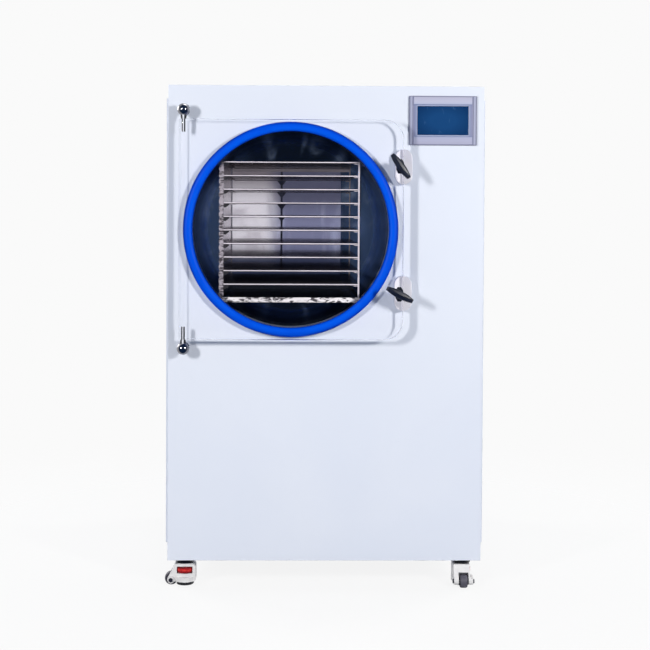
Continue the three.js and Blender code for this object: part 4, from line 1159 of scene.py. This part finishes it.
for name, tilt in BAR_TILTS.items():
    washer_low, washer_high = corners_of(f"{name}_clamp_washer")
    axis = (washer_low + washer_high) / 2
    axis[1] = 0.0
    washer_profile = [
        (STUD + STUD_GAP, washer_low[1]),
        (WASHER_RADIUS, washer_low[1]),
        (WASHER_RADIUS, washer_high[1]),
        (STUD + STUD_GAP, washer_high[1]),
    ]
    washer = along_y(lathed(eased(washer_profile, WASHER_EASE), 48), axis)
    fit(build_piece(f"{name}_washer_ring", [washer], chrome), f"{name}_clamp_washer")

    block_low, block_high = corners_of(f"{name}_latch_block")
    half_width = (block_high[0] - block_low[0]) / 2
    half_straight = (block_high[2] - block_low[2]) / 2 - half_width
    shift = (block_low[0] + block_high[0]) / 2 - axis[0]
    end_round = (half_width, half_width)
    ends = np.concatenate(
        [
            arc((shift, half_straight), end_round, 0, 180, 32),
            arc((shift, -half_straight), end_round, 180, 360, 32),
        ]
    )
    block = slab(ends, block_low[1], block_high[1], BLOCK_EASE, bore=BLOCK_BORE)
    block_white = faced_block(f"{name}_block_white", block_low[1])
    fit(build_piece(f"{name}_clamp_block", [block + axis], block_white), f"{name}_latch_block")

    pad_low, pad_high = corners_of(f"{name}_clamp_pad")
    half = (pad_high - pad_low) / 2
    corner = half[0] / 2
    lower = np.array(
        [
            (corner - half[0], -half[2]),
            (half[0] - corner, -half[2]),
            (half[0], 2 * corner - half[2]),
            (half[0], half[2] - 2 * corner),
        ]
    )
    pad_outline = eased(np.concatenate([lower, -lower]), PAD_EASE, 4)
    pad_bore = (STUD + STUD_GAP, PAD_BORE_DEPTH)
    pad = slab(pad_outline, pad_low[1], pad_high[1], PAD_EDGE, bore=pad_bore)
    fit(build_piece(f"{name}_door_pad", [pad + axis], black_plastic), f"{name}_clamp_pad")

    knob_low, knob_high = corners_of(f"{name}_clamp_knob")
    end = BAR_END / 2
    sweep = np.linspace(-BAR_LENGTH / 2, BAR_LENGTH / 2, 25)
    swell = end + (BAR_WAIST / 2 - end) * (1 - (2 * sweep / BAR_LENGTH) ** 2)
    bar = np.concatenate(
        [np.stack([sweep, -swell], axis=1), np.stack([sweep[::-1], swell[::-1]], axis=1)]
    )
    front = knob_low[1]
    bar_back = front + BAR_THICK
    boss_back = bar_back + BOSS[1]
    handle = slab(bar, front + BAR_CROWN, bar_back, BAR_EASE, crown=BAR_CROWN)
    boss_profile = [
        (0.0, bar_back - BOSS_ROOT),
        (BOSS[0], bar_back - BOSS_ROOT),
        (BOSS[0], boss_back - BOSS_EASE),
        (BOSS[0] - BOSS_EASE, boss_back),
        (STUD, boss_back),
        (STUD, knob_high[1] - STUD_EASE),
        (STUD - STUD_EASE, knob_high[1]),
        (0.0, knob_high[1]),
    ]
    shells = [turned_about_y(handle, tilt) + axis, along_y(lathed(boss_profile, 40), axis)]
    fit(build_piece(f"{name}_bar_handle", shells, black_plastic), f"{name}_clamp_knob")

# ---- Touch screen ---------------------------------------------------------------------------
# A pale lavender-grey plastic bezel with a rail at each side and a band above and below, round a
# dark blue glossy display with a few finger smudges.

BEZEL_EASE = 0.0006
DISPLAY_EASE = 0.0004
DISPLAY = srgb(24, 70, 122)
DISPLAY_EDGE = srgb(14, 50, 94)
DISPLAY_RIM = (0.5, 1.4)
SMUDGE = srgb(64, 104, 152)
RAIL_END = 0.0145
PANE_RIM = 0.003
BEZEL_LIP = 0.0022
LOWER_BLEND = 0.35
# Painted light and shade across the rails and bands, by distance in from the outer edge.
RAIL_LIGHT_AND_SHADE = (
    (0.0, 99, 102, 128),
    (0.0022, 123, 127, 153),
    (0.0050, 172, 175, 200),
    (0.0085, 164, 167, 194),
    (0.0115, 116, 119, 148),
    (0.0135, 141, 144, 176),
    (0.0165, 128, 132, 167),
    (0.0215, 141, 150, 184),
    (0.0270, 164, 174, 203),
)
BAND_LIGHT_AND_SHADE = (
    (0.0, 106, 107, 131),
    (0.0024, 120, 121, 146),
    (0.0040, 180, 180, 203),
    (0.0160, 188, 189, 212),
    (0.0230, 181, 187, 212),
    (0.0270, 113, 125, 166),
    (0.0310, 104, 116, 157),
)


def bezel_plastic(name, low, high, pane_height):
    """Grey-lavender plastic with painted light and shade across its stepped rails and bands:
    painted shade at the outer edge, in the grooves and beside the pane, a painted highlight on each
    crown, and the lower band darker."""
    material, tree = blank_material(name)
    middle, half = (low + high) / 2, (high - low) / 2
    where = object_xyz(tree)

    def inset(axis):
        """Distance in from the nearer of the two outer edges along one axis."""
        return calc("SUBTRACT", half[axis], distance_from(where[axis], middle[axis]))

    side, end = inset(0), inset(2)
    rails = ramp(side, RAIL_LIGHT_AND_SHADE[-1][0], RAIL_LIGHT_AND_SHADE)
    bands = ramp(end, BAND_LIGHT_AND_SHADE[-1][0], BAND_LIGHT_AND_SHADE)
    lower = calc("LESS_THAN", where["Z"], middle[2])
    lower = vary(lower, 0.0, LOWER_BLEND)
    bands = blend(lower, bands, srgb(146, 150, 186))
    on_rail = calc("LESS_THAN", side, RAIL_END)
    beside = calc("GREATER_THAN", end, half[2] - pane_height / 2 - PANE_RIM)
    shaded = blend(calc("MAXIMUM", on_rail, beside), bands, rails)
    lip = calc("LESS_THAN", end, BEZEL_LIP)
    shaded = blend(lip, shaded, srgb(126, 128, 152))
    return surfaced(material, shaded, (0.38, 0.5), grainy(tree, 600.0, 0.12, 0.0002))


frame_low, frame_high = corners_of("screen_frame")
pane_low, pane_high = corners_of("screen_display")
bezel = bezel_plastic("grey_bezel", frame_low, frame_high, pane_high[2] - pane_low[2])
eased_copy("screen_frame", bezel, BEZEL_EASE)


def display_glass(name, low, high):
    """Glossy dark blue pane that darkens towards its edges, with pale smudges."""
    material, tree = blank_material(name)
    middle, half = (low + high) / 2, (high - low) / 2
    mapping = {
        "Vector": place(tree, "ShaderNodeTexCoord")["Object"],
        "Location": (-middle[0] / half[0], 0.0, -middle[2] / half[2]),
        "Scale": (1 / half[0], 0.0, 1 / half[2]),
    }
    mapped = place(tree, "ShaderNodeMapping", mapping)[0]
    reach = place(tree, "ShaderNodeVectorMath", {0: mapped}, operation="LENGTH")["Value"]
    rim = step_up(reach, *DISPLAY_RIM, "LINEAR")
    smudges = patchy(tree, Scale=44.0, Stretch=(1.6, 1.0, 0.8), Low=0.60, High=0.92, Swirl=0.8)
    pane = blend(rim, DISPLAY, DISPLAY_EDGE)
    pane = blend(smudges, pane, SMUDGE)
    return surfaced(material, pane, vary(smudges, 0.12, 0.4))


eased_copy("screen_display", display_glass("display_glass", pane_low, pane_high), DISPLAY_EASE)

# ---- Levelling casters ----------------------------------------------------------------------
# A black mounting plate on a ball race, a white cast housing with a black wheel, a red thumb
# wheel on a threaded stem, and a black rubber foot that the thumb wheel screws down.

CORNERS = ("front_left", "front_right", "rear_left", "rear_right")
PLATE_EASE = 0.0005
CAST_EASE = 0.0006
WHEEL_RADIUS = 0.020
WHEEL_HALF = 0.011
HUB_DEPTH = 0.0025
HUB_RADIUS = 0.010
AXLE_HOLE = 0.0044
THUMB_RADIUS = 0.0255
THUMB_EASE = 0.0015
THUMB_FACE = 0.0235
THUMB_RIDGE = 0.0012
RIDGES = 18
STEM_BORE = 0.0083
BOSS_REACH = 0.0292
NUT_REACH = 0.0085
SHADED_WELL = (0.0150, 0.0260)
# Painted highlight and shade across the thumb wheel's rim, by distance from its middle.
THUMB_LIGHT_AND_SHADE = ((0.0, 232, 62, 52), (0.3, 206, 34, 32), (0.6, 128, 10, 14), (1.0, 84, 6, 10))

fine = (500.0, 0.15, 0.0002)
black_steel = coated(
    "black_steel", srgb(34, 35, 40), srgb(26, 26, 30), (0.3, 0.45), fine, Scale=20.0
)
coarse = (400.0, 0.3, 0.0003)
black_rubber = coated(
    "black_rubber", srgb(40, 40, 44), srgb(30, 30, 33), (0.6, 0.8), coarse, Scale=30.0
)
coarse = (400.0, 0.25, 0.0003)
wheel_tyre = coated(
    "wheel_tyre", srgb(88, 86, 98), srgb(70, 68, 80), (0.45, 0.65), coarse, Scale=40.0
)


def thumb_red(name, middle, half):
    """Red plastic with a painted highlight along the middle of its rim and painted shade towards
    both flat sides.
    """
    material, tree = blank_material(name)
    away = distance_from(object_xyz(tree)["Z"], middle)
    stops = [(share * half, *colour) for share, *colour in THUMB_LIGHT_AND_SHADE]
    shaded = ramp(away, half, stops)
    shaded = blend(patchy(tree, Scale=60.0), shaded, srgb(150, 14, 18))
    return surfaced(material, shaded, (0.3, 0.42), grainy(tree, 400.0, 0.1, 0.0002))


def wheel_shell():
    """Solid tyre with a crowned tread and a recessed hub, turned about its own axle."""
    half = [
        (WHEEL_RADIUS, 0.0),
        (WHEEL_RADIUS, WHEEL_HALF * 0.45),
        (WHEEL_RADIUS - 0.0006, WHEEL_HALF * 0.75),
        (WHEEL_RADIUS - 0.0018, WHEEL_HALF * 0.95),
        (WHEEL_RADIUS - 0.0028, WHEEL_HALF),
        (WHEEL_RADIUS - 0.0045, WHEEL_HALF - 0.0005),
        (WHEEL_RADIUS - 0.0055, WHEEL_HALF - HUB_DEPTH),
        (HUB_RADIUS + 0.0006, WHEEL_HALF - HUB_DEPTH),
        (HUB_RADIUS, WHEEL_HALF - HUB_DEPTH + 0.0006),
        (HUB_RADIUS - 0.0006, WHEEL_HALF),
        (AXLE_HOLE, WHEEL_HALF),
    ]
    return lathed(half + [(radius, -height) for radius, height in half[:0:-1]], 64)


def thumb_shell(low, high):
    """Ridged disc round a bore: its radius rises and falls with the angle, as a rounded wave, and
    the ridges fade out where the two faces are eased."""
    angle = np.linspace(0, 2 * math.pi, RIDGES * 10, endpoint=False)
    ridge = 0.5 + 0.5 * np.cos(RIDGES * angle)
    wave = THUMB_RIDGE * (1 - ridge**0.6)
    rows = [
        (STEM_BORE, low, 0),
        (THUMB_FACE, low, 0),
        (THUMB_RADIUS, low + THUMB_EASE, 1),
        (THUMB_RADIUS, high - THUMB_EASE, 1),
        (THUMB_FACE, high, 0),
        (STEM_BORE, high, 0),
    ]
    shell = []
    for radius, height, share in rows:
        reach = radius - share * wave
        ring = [reach * np.cos(angle), reach * np.sin(angle), np.full(len(angle), height)]
        shell.append(np.stack(ring, axis=1))
    return np.stack(shell)


def casting(name, swivel, axle, along):
    """White-lacquered casting with painted shade inside the fork round the wheel, and the nuts on
    the two ends of its axle in dark plated steel."""
    material, tree = blank_material(name)
    off = distance_from(object_xyz(tree)[along], swivel[along])
    across = np.ones(3)
    across[along] = 0.0
    reach = from_axis(tree, axle, across)
    outer = calc("GREATER_THAN", off, BOSS_REACH)
    nut = calc("MULTIPLY", outer, calc("LESS_THAN", reach, NUT_REACH))
    # Painted shade inside the fork, round the wheel.
    inner = calc("LESS_THAN", off, SHADED_WELL[0])
    shaded_well = calc("MULTIPLY", inner, calc("LESS_THAN", reach, SHADED_WELL[1]))
    cloud = patchy(tree, Scale=25.0)
    lacquer = blend(cloud, srgb(236, 235, 234), srgb(224, 223, 224))
    lacquer = blend(shaded_well, lacquer, srgb(44, 44, 52))
    lacquer = blend(nut, lacquer, srgb(52, 54, 66))
    relief = grainy(tree, 350.0, 0.2, 0.0003)
    return surfaced(material, lacquer, (0.4, 0.55), relief, vary(nut, 0.0, 0.6))


for corner in CORNERS:
    plate_low, plate_high = corners_of(f"{corner}_caster_plate")
    swivel = (plate_low + plate_high) / 2
    swivel[2] = 0.0
    wheel_low, wheel_high = corners_of(f"{corner}_caster_wheel")
    axle = (wheel_low + wheel_high) / 2
    trail = unit((axle - swivel)[:2])

    eased_copy(f"{corner}_caster_plate", black_steel, PLATE_EASE)
    along = 1 if abs(trail[0]) > abs(trail[1]) else 0
    lacquered = casting(f"{corner}_casting", swivel, axle, along)
    eased_copy(f"{corner}_caster_yoke", lacquered, CAST_EASE)
    eased_copy(f"{corner}_caster_foot", black_rubber, CAST_EASE)

    tyre = along_y(wheel_shell())
    if along == 0:
        tyre = np.stack([tyre[..., 1], tyre[..., 0], tyre[..., 2]], axis=-1)
    fit(build_piece(f"{corner}_tyre", [tyre + axle], wheel_tyre), f"{corner}_caster_wheel")

    thumb_low, thumb_high = corners_of(f"{corner}_caster_thumbwheel")
    thumb = thumb_shell(thumb_low[2], thumb_high[2]) + swivel
    thumb_middle = (thumb_low[2] + thumb_high[2]) / 2
    red = thumb_red(f"{corner}_red_plastic", thumb_middle, thumb_high[2] - thumb_middle)
    disc = build_piece(f"{corner}_thumb_disc", [thumb], red, smooth=50)
    fit(disc, f"{corner}_caster_thumbwheel")

# ---- Cable gland ----------------------------------------------------------------------------
# A black plastic gland in the back panel, where the mains cable would come in.

GLAND_EASE = 0.0006

eased_copy("cable_gland", black_plastic, GLAND_EASE)
